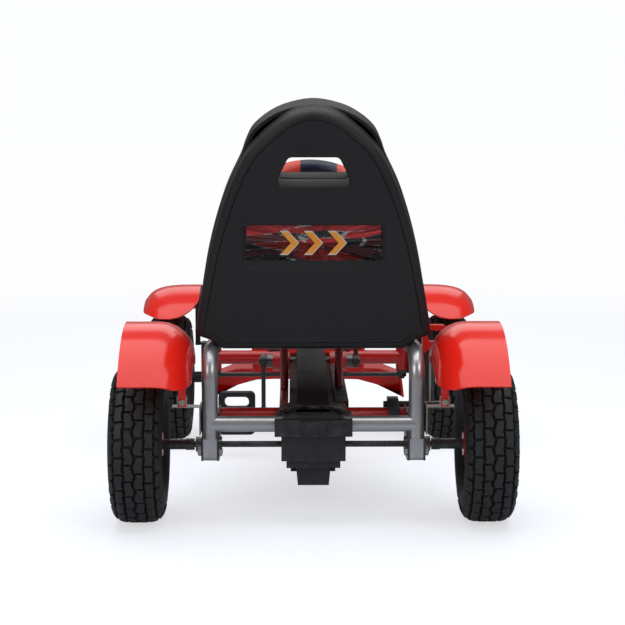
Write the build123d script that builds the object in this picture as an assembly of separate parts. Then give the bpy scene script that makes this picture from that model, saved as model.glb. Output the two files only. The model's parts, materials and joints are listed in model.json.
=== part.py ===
"""Pedal go kart: +X to the driver's right, +Y forward, +Z up, standing on Z = 0. Millimetres."""

from build123d import *
import math
import os

os.makedirs("parts", exist_ok=True)

# Layout
wheelbase = 700.0
rear_track = 556.0
front_track = 554.0
nose_overhang = 272.0

# Wheels and tyres
tyre_od = 250.0
tyre_width = 85.0
tyre_wall = 7.0
bead_radius = 56.0
rim_flange_radius = 61.0
rim_width = 58.0
rim_wall = 3.0
hub_radius = 19.0
hub_length = 74.0

# Fits
running_gap = 0.05
seat_gap = 0.05
body_gap = 0.3

# Rear axle and its brackets
axle_radius = 5.0
bearing_radius = 12.0
bearing_inner_x = 146.0
bearing_outer_x = 188.0
cheek_inner_x = 149.0
cheek_outer_x = 177.0
cheek_wall = 3.0
sleeve_radius = 8.5

# Frame
rail_x = 47.0
rail_width = 14.0
rail_bottom = 152.0
rail_top = 182.0
rail_rear = 22.0
cross_tube_y = 38.0
cross_tube_z = 165.0
cross_tube_radius = 12.7
beam_radius = 14.0
beam_z = 165.0
kingpin_x = 189.0
kingpin_radius = 6.0
kingpin_boss_radius = 14.0
kingpin_boss_height = 50.0

# Crank, chain and sprockets
chain_pitch = 12.7
chain_links = 104
front_teeth = 28
rear_teeth = 14
crank_z = 183.0
crank_arm_length = 100.0
crank_arm_x = 88.0
crank_axle_radius = 7.5
crank_shell_radius = 18.0
pedal_inner_x = 104.0
pedal_outer_x = 174.0
pedal_height = 82.0
pedal_thickness = 20.0

# Steering
steering_angle = 50.0
steering_wheel_radius = 120.0
steering_grip_radius = 13.0
steering_wheel_z = 485.0
steering_arm = 38.0
tie_rod_z = 124.0
pitman_rise = 12.0
pitman_play = 2.3
tie_pin_radius = 4.0
head_tube_low = 80.0
head_tube_high = 250.0
column_radius = 9.0
head_tube_radius = 15.0

# Seat
seat_tube_radius = 12.7
seat_tube_wall = 1.8
seat_tube_x = 163.0
seat_tube_y = -45.0
seat_cross_z = 166.0
seat_back_y = -25.0
seat_back_z = 275.0
seat_recline = 15.0
seat_back_depth = 45.0
seat_front_depth = 60.0
seat_wall = 4.0
seat_pan_half_width = 168.0
seat_pan_front = 335.0
seat_pan_bottom = 293.0
seat_pan_top = 305.0
seat_bolster_top = 340.0
seat_bar_y = 215.0
seat_bar_radius = 8.0
seat_bolt_x = 100.0

# Fenders
fender_wall = 3.0
rear_fender_radius = 197.0
rear_fender_outer_x = 298.0
rear_fender_inner_x = 190.0
rear_fender_start = -18.0
rear_fender_end = 53.2
rear_fender_shoulder = 55.0
rear_fender_trim_z = 236.0
front_fender_radius = 186.0
front_fender_inner_x = 215.0
front_fender_outer_x = 325.0
front_fender_start = -48.0
front_fender_end = 44.0

# Hand brake
brake_shaft_y = 62.0
brake_shaft_z = 178.0
brake_shaft_radius = 6.0
brake_throw = 15.0

# Worked-out places
wheel_radius = tyre_od / 2
axle_z = wheel_radius
rear_reach = rear_fender_radius * math.cos(math.radians(90.0 - rear_fender_end))
rear_y = (rear_reach - wheelbase - nose_overhang) / 2
front_y = rear_y + wheelbase
rear_pitch_radius = chain_pitch / (2 * math.sin(math.pi / rear_teeth))
front_pitch_radius = chain_pitch / (2 * math.sin(math.pi / front_teeth))
sprocket_distance = (chain_links - (front_teeth + rear_teeth) / 2) * chain_pitch / 2
crank_y = rear_y + math.sqrt(sprocket_distance**2 - (crank_z - axle_z) ** 2)
tie_rod_y = front_y + steering_arm
steer_sin = math.sin(math.radians(steering_angle))
steer_cos = math.cos(math.radians(steering_angle))
pitman_z = tie_rod_z + pitman_rise
column_foot = Vector(0, tie_rod_y - steering_arm * steer_sin, pitman_z - steering_arm * steer_cos)
column_direction = Vector(0, -steer_cos, steer_sin)
column_length = (steering_wheel_z - column_foot.Z) / steer_sin
seat_bar_z = seat_pan_bottom - seat_tube_radius - body_gap
rear_wheel_x = rear_track / 2
front_wheel_x = front_track / 2


def at_rear(y):
    """Y of a point given its distance ahead of the rear axle."""
    return rear_y + y


def oriented(points):
    """The same outline, run anticlockwise."""
    area = sum(a[0] * b[1] - b[0] * a[1] for a, b in zip(points, points[1:] + points[:1]))
    return points if area > 0 else points[::-1]


def prism_x(points, start, end):
    """A (Y, Z) outline carried along X."""
    return extrude(Plane.YZ.offset(start) * Polygon(*oriented(points)), amount=end - start)


def prism_y(points, start, end):
    """An (X, Z) outline carried along Y."""
    return extrude(Plane.XZ.offset(-end) * Polygon(*oriented(points)), amount=end - start)


def prism_z(points, start, end):
    """An (X, Y) outline carried along Z."""
    return extrude(Plane.XY.offset(start) * Polygon(*oriented(points)), amount=end - start)


def block(x, y, z):
    """A box from its (low, high) pairs."""
    centre = ((x[0] + x[1]) / 2, (y[0] + y[1]) / 2, (z[0] + z[1]) / 2)
    return Pos(*centre) * Box(x[1] - x[0], y[1] - y[0], z[1] - z[0])


def rod(start, end, radius):
    """A round bar from one point to another."""
    start = Vector(start)
    run = Vector(end) - start
    plane = Plane(origin=start, z_dir=run)
    return plane * Cylinder(radius, run.length, align=(Align.CENTER, Align.CENTER, Align.MIN))


def rod_x(x, y, z, radius):
    """A round bar along X between the two values of x."""
    return rod((x[0], y, z), (x[1], y, z), radius)


def rod_z(x, y, z, radius):
    """A round bar along Z between the two values of z."""
    return rod((x, y, z[0]), (x, y, z[1]), radius)


def bent_tube(points, radius, bend):
    """A round bar along straight runs joined by arcs."""
    path = FilletPolyline(*points, radius=bend)
    return sweep(Plane(origin=path @ 0, z_dir=path % 0) * Circle(radius), path=path)


def turned(points, centre_y, start=0.0, arc=360.0):
    """An (X, radius) outline turned about a wheel axle: 0 is straight up, positive goes rearwards."""
    plane = Plane(origin=(0, centre_y, axle_z), x_dir=(1, 0, 0), z_dir=(0, -1, 0))
    axis = Axis((0, centre_y, axle_z), (1, 0, 0))
    face = plane * Polygon(*oriented(points))
    if start:
        face = face.rotate(axis, start)
    return revolve(face, axis, arc)


def on_side(shape, side):
    """The right-hand shape, or its mirror image for the left."""
    return shape if side > 0 else mirror(shape, about=Plane.YZ)


def group(*shapes):
    """Separate solids that share one node."""
    return Compound(children=[solid for shape in shapes for solid in shape.solids()])


def belt(grow):
    """The (Y, Z) outline round both sprockets' pitch circles, grown outwards."""
    small = rear_pitch_radius + grow
    large = front_pitch_radius + grow
    angle = math.atan2(crank_z - axle_z, crank_y - rear_y)
    lean = math.acos((small - large) / sprocket_distance)

    def point(radius, centre_y, centre_z, direction):
        return (centre_y + radius * math.cos(direction), centre_z + radius * math.sin(direction))

    top_rear = point(small, rear_y, axle_z, angle + lean)
    top_front = point(large, crank_y, crank_z, angle + lean)
    low_front = point(large, crank_y, crank_z, angle - lean)
    low_rear = point(small, rear_y, axle_z, angle - lean)
    outline = Curve() + [
        Line(top_rear, top_front),
        ThreePointArc(top_front, point(large, crank_y, crank_z, angle), low_front),
        Line(low_front, low_rear),
        ThreePointArc(low_rear, point(small, rear_y, axle_z, angle + math.pi), top_rear),
    ]
    return make_face(outline)


def belt_solid(grow, start, end):
    """The belt outline carried along X."""
    return extrude(Plane.YZ.offset(start) * belt(grow), amount=end - start, dir=(1, 0, 0))


# Wheels

def wheel_outline(centre, pairs):
    """(offset from the wheel's centre plane, radius) pairs as (X, radius) points."""
    return [(centre + offset, radius) for offset, radius in pairs]


def tyre(centre, y):
    """The tyre cover and the inner tube inside it, as two solids."""
    half = tyre_width / 2
    bead = rim_width / 2 - rim_wall
    crown = wheel_radius
    over_flange = rim_flange_radius + 1
    outer = [(bead, bead_radius), (bead, over_flange), (half - 9, over_flange + 8), (half, 88), (half - 2, 108),
             (half - 11, crown - 4), (18, crown)]
    inner = [(16, crown - tyre_wall), (half - 15, crown - 12), (half - 9, 104), (half - 7, 88), (half - 14, 72),
             (bead - 8, bead_radius)]
    loop = outer + [(-x, r) for x, r in outer[::-1]] + [(-x, r) for x, r in inner[::-1]] + inner
    cover = turned(wheel_outline(centre, loop), y)
    tube_outer = [(14, crown - 14), (half - 20, crown - 20), (half - 14, 100), (half - 13, 88), (15, 68)]
    tube_inner = [(12, 71), (half - 16, 88), (half - 17, 99), (half - 23, crown - 24), (13, crown - 17)]
    tube_loop = tube_outer + [(-x, r) for x, r in tube_outer[::-1]]
    hollow_loop = tube_inner[::-1] + [(-x, r) for x, r in tube_inner]
    tube = turned(wheel_outline(centre, tube_loop), y) - turned(wheel_outline(centre, hollow_loop), y)
    return group(cover, tube)


def rim(centre, y, bore):
    """Rim barrel, pierced disc and hub."""
    half = rim_width / 2
    seat = bead_radius - seat_gap
    barrel = [
        (-half, rim_flange_radius), (-half + rim_wall, rim_flange_radius), (-half + rim_wall, seat),
        (-8, seat), (-5, 44), (5, 44), (8, seat), (half - rim_wall, seat),
        (half - rim_wall, rim_flange_radius), (half, rim_flange_radius), (half, seat - rim_wall),
        (10, seat - rim_wall), (7, 41), (-7, 41), (-10, seat - rim_wall), (-half, seat - rim_wall),
    ]
    body = turned(wheel_outline(centre, barrel), y)
    disc = [(-2, 42), (2, 42), (2, hub_radius - 1), (-2, hub_radius - 1)]
    body = body + turned(wheel_outline(centre, disc), y)
    ends = (centre - hub_length / 2, centre + hub_length / 2)
    body = body + rod_x(ends, y, axle_z, hub_radius)
    body = body - rod_x((ends[0] - 1, ends[1] + 1), y, axle_z, bore)
    for number in range(4):
        angle = math.radians(45 + 90 * number)
        window = rod_x((centre - 5, centre + 5), y + 31 * math.cos(angle), axle_z + 31 * math.sin(angle), 7)
        body = body - window
    return body


def hub_cap(centre, y, side, bore):
    """Domed cap over the hub's outer end."""
    face = centre + side * (hub_length / 2 + body_gap)
    dome = [(0, 0), (0, 34), (-6 * side, 34), (-6 * side, 40), (1.5 * side, 40), (3.5 * side, 32), (4.4 * side, 0)]
    shape = turned([(face + offset, radius) for offset, radius in dome], y)
    pocket = rod_x(sorted((face - side, face + 1.2 * side)), y, axle_z, bore)
    return shape - pocket


def hub_bearings(centre, y, shaft):
    """Two ball bearings, drawn as plain rings, pressed into the hub's ends."""
    rings = []
    for sign in (-1, 1):
        ends = sorted((centre + sign * hub_length / 2, centre + sign * (hub_length / 2 - 10)))
        rings.append(rod_x(ends, y, axle_z, hub_radius - 4 - seat_gap) - rod_x(ends, y, axle_z, shaft + running_gap))
    return group(*rings)


def hub_seats(shape, centre, y):
    """The counterbores that hold the two bearings."""
    for sign in (-1, 1):
        ends = sorted((centre + sign * (hub_length / 2 + 1), centre + sign * (hub_length / 2 - 10 - seat_gap)))
        shape = shape - rod_x(ends, y, axle_z, hub_radius - 4)
    return shape


def sprocket(teeth, radius, y, z, bore, thickness=2.4):
    """A flat chain wheel with trapezium teeth and lightening holes."""
    wheel = rod_x((-thickness / 2, thickness / 2), y, z, radius - 3.2)
    for number in range(teeth):
        angle = 360.0 * (number + 0.5) / teeth
        tooth = prism_x(
            [(radius - 6, -3.4), (radius - 1, -2.4), (radius + 3.6, -0.9),
             (radius + 3.6, 0.9), (radius - 1, 2.4), (radius - 6, 3.4)],
            -thickness / 2, thickness / 2)
        wheel = wheel + Pos(0, y, z) * (Rot(angle, 0, 0) * tooth)
    wheel = wheel + rod_x((-7, 7), y, z, bore + 6)
    if radius > 50:
        for number in range(5):
            angle = math.radians(72 * number + 18)
            hole_y = y + 34 * math.cos(angle)
            hole_z = z + 34 * math.sin(angle)
            wheel = wheel - rod_x((-thickness, thickness), hole_y, hole_z, 10)
    return wheel - rod_x((-10, 10), y, z, bore)


# Drive

def rear_axle():
    end = rear_wheel_x + hub_length / 2 - 2
    return rod_x((-end, end), rear_y, axle_z, axle_radius)


def axle_hardware():
    """Spacer sleeve and lock collar on each side of the axle."""
    pieces = []
    sleeve_outer = rear_wheel_x - hub_length / 2 - body_gap
    for side in (-1, 1):
        for low, high, radius in ((bearing_outer_x + 2, 203.5, 9.5), (204, sleeve_outer, sleeve_radius)):
            ends = sorted((side * low, side * high))
            shape = rod_x(ends, rear_y, axle_z, radius) - rod_x(ends, rear_y, axle_z, axle_radius + seat_gap)
            pieces.append(shape)
    return group(*pieces)


def drive_chain():
    """Both rows of side plates, joined by rollers on the straight runs only."""
    rows = []
    for side in (-1, 1):
        ends = sorted((side * 1.8, side * 3.2))
        rows.append(belt_solid(3.6, *ends) - belt_solid(-3.6, *ends))
    chain = rows[0] + rows[1]
    angle = math.atan2(crank_z - axle_z, crank_y - rear_y)
    lean = math.acos((rear_pitch_radius - front_pitch_radius) / sprocket_distance)
    run = sprocket_distance * math.sin(lean)
    count = int((run - 66) / (2 * chain_pitch))
    for sign in (-1, 1):
        normal = angle + sign * lean
        start_y = rear_y + rear_pitch_radius * math.cos(normal)
        start_z = axle_z + rear_pitch_radius * math.sin(normal)
        heading = normal - sign * math.pi / 2
        for number in range(count):
            reach = 30 + 2 * chain_pitch * number
            place = (start_y + reach * math.cos(heading), start_z + reach * math.sin(heading))
            chain = chain + rod_x((-2.5, 2.5), place[0], place[1], 3.2)
    return chain


def crank_axle():
    end = crank_arm_x - 5 - seat_gap
    return rod_x((-end, end), crank_y, crank_z, crank_axle_radius)


def crank_arm(side):
    """Forged arm with a boss at each end; left arm down, right arm up."""
    tip_z = crank_z + side * crank_arm_length
    low = crank_arm_x - 5
    high = crank_arm_x + 5
    arm = rod_x((low, high), crank_y, crank_z, 14) + rod_x((low, high), crank_y, tip_z, 11)
    bar = [(crank_y - 9, crank_z), (crank_y + 9, crank_z), (crank_y + 7, tip_z), (crank_y - 7, tip_z)]
    arm = arm + prism_x(bar, low + 1, high - 1)
    arm = arm + rod_x((high, high + 3), crank_y, crank_z, 8)
    arm = arm + rod_x((high, pedal_outer_x - 4), crank_y, tip_z, 5)
    return on_side(arm, side)


def pedal(side):
    """Upright plate pedal with D-shaped openings above and below its spindle tube."""
    tip_z = crank_z + side * crank_arm_length
    y = (crank_y - pedal_thickness / 2, crank_y + pedal_thickness / 2)
    z = (tip_z - pedal_height / 2, tip_z + pedal_height / 2)
    plate = block((pedal_inner_x, pedal_outer_x), y, z)
    plate = fillet(plate.edges().filter_by(Axis.Y), 10)
    for sign in (-1, 1):
        window = block((pedal_inner_x + 12, pedal_outer_x - 12), (y[0] - 1, y[1] + 1),
                       sorted((tip_z + sign * 12, tip_z + sign * (pedal_height / 2 - 9))))
        window = fillet(window.edges().filter_by(Axis.Y), 8)
        plate = plate - window
    plate = plate - rod_x((pedal_inner_x - 1, pedal_outer_x + 1), crank_y, tip_z, 5 + running_gap)
    return on_side(plate, side)


def crank_bearings():
    pieces = []
    for side in (-1, 1):
        ends = sorted((side * (rail_x - 8), side * (crank_arm_x - 7)))
        ring = rod_x(ends, crank_y, crank_z, crank_shell_radius - 5 - seat_gap)
        pieces.append(ring - rod_x(ends, crank_y, crank_z, crank_axle_radius + running_gap))
    return group(*pieces)


# Frame

def column_point(reach):
    """A point on the steering column, measured up from its foot."""
    return column_foot + column_direction * reach


def seat_bar(grow=0.0):
    """The bar under the pan, or the room it needs."""
    return rod_x((-148, 148), at_rear(seat_bar_y), seat_bar_z, seat_bar_radius + grow)


def main_frame():
    """Twin rails with rear cross stubs, crank shells, seat posts and the steering head."""
    rail_front = front_y - beam_radius - body_gap
    frame = None
    for side in (-1, 1):
        x = sorted((side * (rail_x - rail_width / 2), side * (rail_x + rail_width / 2)))
        rail = block(x, (at_rear(rail_rear), rail_front), (rail_bottom, rail_top))
        frame = rail if frame is None else frame + rail
        stub = rod_x(sorted((side * rail_x, side * (cheek_outer_x + 3))), at_rear(cross_tube_y),
                     cross_tube_z, cross_tube_radius)
        frame = frame + stub
        shell = rod_x(sorted((side * (rail_x - 9), side * (rail_x + 23))), crank_y, crank_z, crank_shell_radius)
        frame = frame + shell
        post = rod_z(side * rail_x, at_rear(seat_bar_y), (rail_top - 5, seat_bar_z), 7)
        frame = frame + (post - seat_bar(seat_gap))
    cross = block((-rail_x, rail_x), (front_y - 60, front_y - 24), (rail_bottom, rail_top))
    frame = frame + cross + rod(column_point(head_tube_low), column_point(head_tube_high), head_tube_radius)
    web = [(front_y - 58, rail_top - 2), (front_y - 26, rail_top - 2),
           (column_point(170).Y + 12, column_point(170).Z), (column_point(170).Y, column_point(170).Z)]
    frame = frame + prism_x(web, -3, 3)
    frame = frame - rod(column_point(20), column_point(head_tube_high + 15), head_tube_radius - 2.5)
    for side in (-1, 1):
        ends = sorted((side * (rail_x - 10), side * (rail_x + 24)))
        frame = frame - rod_x(ends, crank_y, crank_z, crank_shell_radius - 5)
    return frame


def front_axle_beam():
    """Cross tube with a kingpin sleeve at each end and two tongues under the rails."""
    beam = rod_x((-kingpin_x, kingpin_x), front_y, beam_z, beam_radius)
    for side in (-1, 1):
        z = (beam_z - kingpin_boss_height / 2, beam_z + kingpin_boss_height / 2)
        beam = beam + rod_z(side * kingpin_x, front_y, z, kingpin_boss_radius)
        tongue = sorted((side * (rail_x - 9), side * (rail_x + 9)))
        beam = beam + block(tongue, (front_y - 60, front_y), (rail_bottom - 5, rail_bottom))
        z_hole = (beam_z - kingpin_boss_height, beam_z + kingpin_boss_height)
        beam = beam - rod_z(side * kingpin_x, front_y, z_hole, kingpin_radius + running_gap)
    return beam


def nose_bracket():
    """Two arms from the beam to a cross bar behind the nose panel."""
    bracket = None
    for side in (-1, 1):
        arm = rod((side * 70, front_y + beam_radius + body_gap, beam_z), (side * 70, front_y + 172, beam_z), 8)
        clamp = block(sorted((side * 58, side * 82)), (front_y - 8, front_y + 30), (beam_z + beam_radius, beam_z + 18))
        link = block(sorted((side * 64, side * 76)), (front_y + 20, front_y + 30), (beam_z, beam_z + 18))
        piece = arm + clamp + link
        bracket = piece if bracket is None else bracket + piece
    return bracket + rod_x((-104, 104), front_y + 172, beam_z, 8)


def axle_brackets():
    """A pair of cheeks on each side, tied by a floor web, that carry the axle bearings."""
    pieces = []
    outline = [(at_rear(-52), 108), (at_rear(-52), 142), (at_rear(-29), 142), (at_rear(-29), 180),
               (at_rear(53), 180), (at_rear(53), 150), (at_rear(26), 104), (at_rear(-30), 104)]
    for side in (-1, 1):
        bracket = prism_x(outline, cheek_inner_x, cheek_inner_x + cheek_wall)
        bracket = bracket + prism_x(outline, cheek_outer_x - cheek_wall, cheek_outer_x)
        bracket = bracket + block((cheek_inner_x, cheek_outer_x), (at_rear(-20), at_rear(20)), (104, 107))
        ends = (cheek_inner_x - 1, cheek_outer_x + 1)
        bracket = bracket - rod_x(ends, rear_y, axle_z, bearing_radius + seat_gap)
        bracket = bracket - rod_x(ends, at_rear(cross_tube_y), cross_tube_z, cross_tube_radius + seat_gap)
        bracket = bracket - rod_x(ends, at_rear(seat_tube_y + 1), 122, 4 + seat_gap)
        pieces.append(on_side(bracket, side))
    return group(*pieces)


def axle_bearings():
    pieces = []
    for side in (-1, 1):
        ends = (bearing_inner_x, bearing_outer_x)
        shape = rod_x(ends, rear_y, axle_z, bearing_radius) - rod_x(ends, rear_y, axle_z, axle_radius + running_gap)
        for number in range(8):
            angle = math.radians(45 * number)
            notch = rod_x((bearing_outer_x - 4, bearing_outer_x + 1), rear_y + 13 * math.cos(angle),
                          axle_z + 13 * math.sin(angle), 2.2)
            shape = shape - notch
        pieces.append(on_side(shape, side))
    return group(*pieces)


def seat_support_frame():
    """Two uprights bent forward under the pan, the rear cross tube, a front cross bar and flattened feet."""
    y = at_rear(seat_tube_y)
    inner = seat_tube_radius - seat_tube_wall
    tubes = None
    bores = None
    for side in (-1, 1):
        x = side * seat_tube_x
        points = [(x, y, 143), (x, y, seat_bar_z), (side * 150, at_rear(250), seat_bar_z)]
        tube = bent_tube(points, seat_tube_radius, 42)
        bore = bent_tube(points, inner, 42)
        tubes = tube if tubes is None else tubes + tube
        bores = bore if bores is None else bores + bore
    tubes = tubes + rod_x((-seat_tube_x, seat_tube_x), y, seat_cross_z, seat_tube_radius)
    frame = tubes - bores - rod_x((14 - seat_tube_x, seat_tube_x - 14), y, seat_cross_z, inner) + seat_bar()
    for side in (-1, 1):
        inner_face = cheek_inner_x + cheek_wall + body_gap
        outer_face = cheek_outer_x - cheek_wall - body_gap
        foot_x = sorted((side * inner_face, side * outer_face))
        foot = prism_x([(y - 6, 150), (y + 6, 150), (y + 6, 106), (y - 6, 112)], *foot_x)
        frame = frame + (foot - rod_x((foot_x[0] - 1, foot_x[1] + 1), y + 1, 122, 4 + seat_gap))
        frame = frame - rod_z(side * seat_bolt_x, at_rear(seat_bar_y), (seat_bar_z - 10, seat_bar_z + 10), 3 + seat_gap)
    return frame


# Guards

def guard_profile(inset):
    """(Y, Z) outline of the upper chain guard: a rising top that rolls over the front sprocket."""
    radius = front_pitch_radius + 13 - inset
    base = rail_bottom + 0.5
    start = (at_rear(-34) + (0 if inset == 0 else -5), 190.0 - inset)
    reach = math.hypot(crank_y - start[0], crank_z - start[1])
    tangent = math.atan2(crank_z - start[1], crank_y - start[0]) + math.asin(radius / reach)
    top = (crank_y - radius * math.sin(tangent), crank_z + radius * math.cos(tangent))
    front_angle = math.asin((base - crank_z) / radius)
    front = (crank_y + radius * math.cos(front_angle), base)
    middle_angle = (front_angle + tangent + math.pi / 2) / 2
    middle = (crank_y + radius * math.cos(middle_angle), crank_z + radius * math.sin(middle_angle))
    step = at_rear(62)
    lid_top = seat_cross_z + 17 + (0 if inset == 0 else -3)
    corner_points = [front, (step, base), (step, lid_top), (start[0], lid_top), start, top]
    return make_face(Curve() + [Polyline(*corner_points), ThreePointArc(top, middle, front)])


def guard_section(inset):
    """(X, Z) outline of the guard: narrow top, sloping shoulders, walls between the rails."""
    base = rail_bottom - 5
    low = rail_x - rail_width / 2 - 2 - inset
    top = 25 - inset
    shoulder = rail_top + 8 - inset
    return [(-low, base), (low, base), (low, rail_top - inset), (top, shoulder), (top, 300),
            (-top, 300), (-top, shoulder), (-low, rail_top - inset)]


def chain_guard():
    """Upper chain guard with its right-hand skirt and the flared rear collar."""
    wall = 2.5

    def solid(inset):
        shape = extrude(Plane.YZ.offset(-60) * guard_profile(inset), amount=120, dir=(1, 0, 0))
        return shape & prism_y(guard_section(inset), rear_y - 200, front_y)

    guard = solid(0) - solid(wall)
    guard = guard - block((-33, 33), (at_rear(55), crank_y + 58), (rail_bottom - 1, rail_bottom + wall + 0.6))
    guard = guard - rod_x((-50, 50), crank_y, crank_z, crank_axle_radius + 2.5)
    skirt = block((rail_x - 10, rail_x + 12), (at_rear(56), at_rear(470)), (rail_top + body_gap, rail_top + 3))
    skirt = skirt + block((rail_x + 8.5, rail_x + 12), (at_rear(56), at_rear(470)), (158, rail_top + 3))
    skirt = skirt - rod_z(rail_x, at_rear(seat_bar_y), (rail_top - 2, rail_top + 6), 8)
    collar = prism_y([(-54, 183.2), (54, 183.2), (50, 187), (26, 192), (-26, 192), (-50, 187)],
                     at_rear(-36), at_rear(16))
    opening = prism_y([(-36, 182), (36, 182), (22.5, 187.5), (-22.5, 187.5)], at_rear(-40), at_rear(20))
    return guard + skirt + (collar - opening)


def chain_guard_lower():
    """Trough under the rails that closes the chain's lower run."""
    half = rail_x - rail_width / 2 - 3
    keep = block((-60, 60), (at_rear(68), front_y), (0, rail_bottom - body_gap))
    outer = belt_solid(12.5, -half, half) & keep
    return outer - belt_solid(10, -half + 2.5, half - 2.5)


def case_blocks(inset):
    """The stepped outline of the rear case, as one solid."""
    low = inset
    body = block((-50.5 + low, 50.5 - low), (at_rear(-66 + low), at_rear(20 - low)), (110 + low, 166))
    step = block((-42.5 + low, 42.5 - low), (at_rear(-56 + low), at_rear(20 - low)), (97 + low, 125))
    neck = block((-36 + low, 36 - low), (at_rear(0), at_rear(60)), (80 + low, 166))
    boss = prism_y([(-29 + low, 112), (29 - low, 112), (24.5 - low, 67 + low), (-24.5 + low, 67 + low)],
                   at_rear(-44 + low), at_rear(44 - low))
    return body + step + neck + boss


def rear_case_tub():
    flange = block((-61, 61), (at_rear(-72), at_rear(20)), (150, 166))
    flange = flange - block((-50, 50), (at_rear(-65), at_rear(21)), (149, 167))
    tub = case_blocks(0) + flange - case_blocks(3)
    tub = tub - block((-33, 33), (at_rear(40), at_rear(61)), (83, 167))
    tub = tub - block((-47.5, 47.5), (at_rear(-63), at_rear(17)), (160, 167))
    tub = tub - rod_x((-62, 62), at_rear(seat_tube_y), seat_cross_z, seat_tube_radius + seat_gap)
    return tub - rod_x((-62, 62), rear_y, axle_z, axle_radius + 2)


def rear_case_lid():
    """Lid clamped over the seat frame's cross tube, with a raised rear hood and a clip tongue."""
    lid = block((-61, 61), (at_rear(-72), at_rear(20)), (166, 176))
    lid = lid + prism_y([(-50, 176), (50, 176), (36, 183), (-36, 183)], at_rear(-66), at_rear(20))
    lid = lid - prism_y([(-47, 165), (47, 165), (47, 173), (33, 180), (-33, 180), (-47, 173)], at_rear(-63),
                        at_rear(17))
    lid = lid + block((-18, 18), (at_rear(-76), at_rear(-72)), (157, 174))
    lid = lid - rod_x((-62, 62), at_rear(seat_tube_y), seat_cross_z, seat_tube_radius + seat_gap)
    return lid - block((-40, 40), (at_rear(-34), at_rear(30)), (180.5, 184))


# Seat

seat_lean = math.radians(seat_recline)
seat_plane = Plane(origin=(0, at_rear(seat_back_y), seat_back_z), x_dir=(-1, 0, 0),
                   z_dir=(0, math.cos(seat_lean), math.sin(seat_lean)))
back_edge = [(0, 394), (61, 367), (105, 321), (137, 250), (163, 160), (187, 32)]
back_foot = [(161, 19), (144, 4.5)]
head_edge = [(0, 388), (41, 380), (93, 346), (112, 305), (139, 248), (165, 156), (186, 32)]
slot_outline = [(-61, 275.5), (61, 275.5), (38.5, 321.5), (-38.5, 321.5)]
recess_outline = [(-111, 142), (111, 142), (111, 215), (-111, 215)]
decal_outline = [(-105.5, 154.6), (105.5, 154.6), (105.5, 212.3), (-105.5, 212.3)]


def drawn_in(edge, margin):
    """Edge points moved inwards along the normal of each one's neighbours."""
    moved = [(0, edge[0][1] - margin)]
    for before, here, after in zip(edge, edge[1:], edge[2:] + edge[-1:]):
        run = (after[0] - before[0], after[1] - before[1])
        length = math.hypot(*run)
        moved.append((here[0] + margin * run[1] / length, here[1] - margin * run[0] / length))
    return moved


def back_outline(edge, inset=0.0):
    """The seat back's outline, in the plane of the back, drawn in by an even margin."""
    edge = drawn_in(edge, inset)
    left = [(-x, v) for x, v in edge[::-1]]
    foot = [(x - inset, v + inset) for x, v in back_foot]
    curve = Curve() + [
        Spline(*edge, tangents=((1, 0), (0.15, -1))),
        Polyline(edge[-1], *foot, *[(-x, v) for x, v in foot[::-1]], left[0]),
        Spline(*left, tangents=((0.15, 1), (1, 0))),
    ]
    return make_face(curve)


def in_back(face, start, end):
    """A face in the plane of the back, carried along its forward normal."""
    return extrude(seat_plane.offset(start) * face, amount=end - start, dir=seat_plane.z_dir)


def seat_back_shell():
    """Rear half of the seat: a tray, open to the front, with the handle slot and the number recess."""
    shell = in_back(back_outline(back_edge), 0, seat_back_depth)
    shell = shell - in_back(back_outline(back_edge, seat_wall), seat_wall, seat_back_depth + 1)
    pocket_wall = in_back(Polygon(*oriented([(-115, 138), (115, 138), (115, 219), (-115, 219)])), 0, 10)
    shell = shell + pocket_wall
    shell = shell - in_back(Polygon(*oriented(recess_outline)), -1, 6)
    rim_outline = offset(Polygon(*oriented(slot_outline)), amount=4)
    shell = shell + in_back(rim_outline, 0, seat_back_depth)
    slot = fillet(Polygon(*oriented(slot_outline)).vertices(), 8)
    shell = shell - in_back(slot, -1, seat_back_depth + 1)
    for side in (-1, 1):
        shell = shell - rod_z(side * seat_tube_x, at_rear(seat_tube_y), (250, 330), seat_tube_radius + 2)
    return shell


def seat_decal():
    """Printed plate on the floor of the recess."""
    return in_back(Polygon(*oriented(decal_outline)), 5.4, 6)


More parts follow.
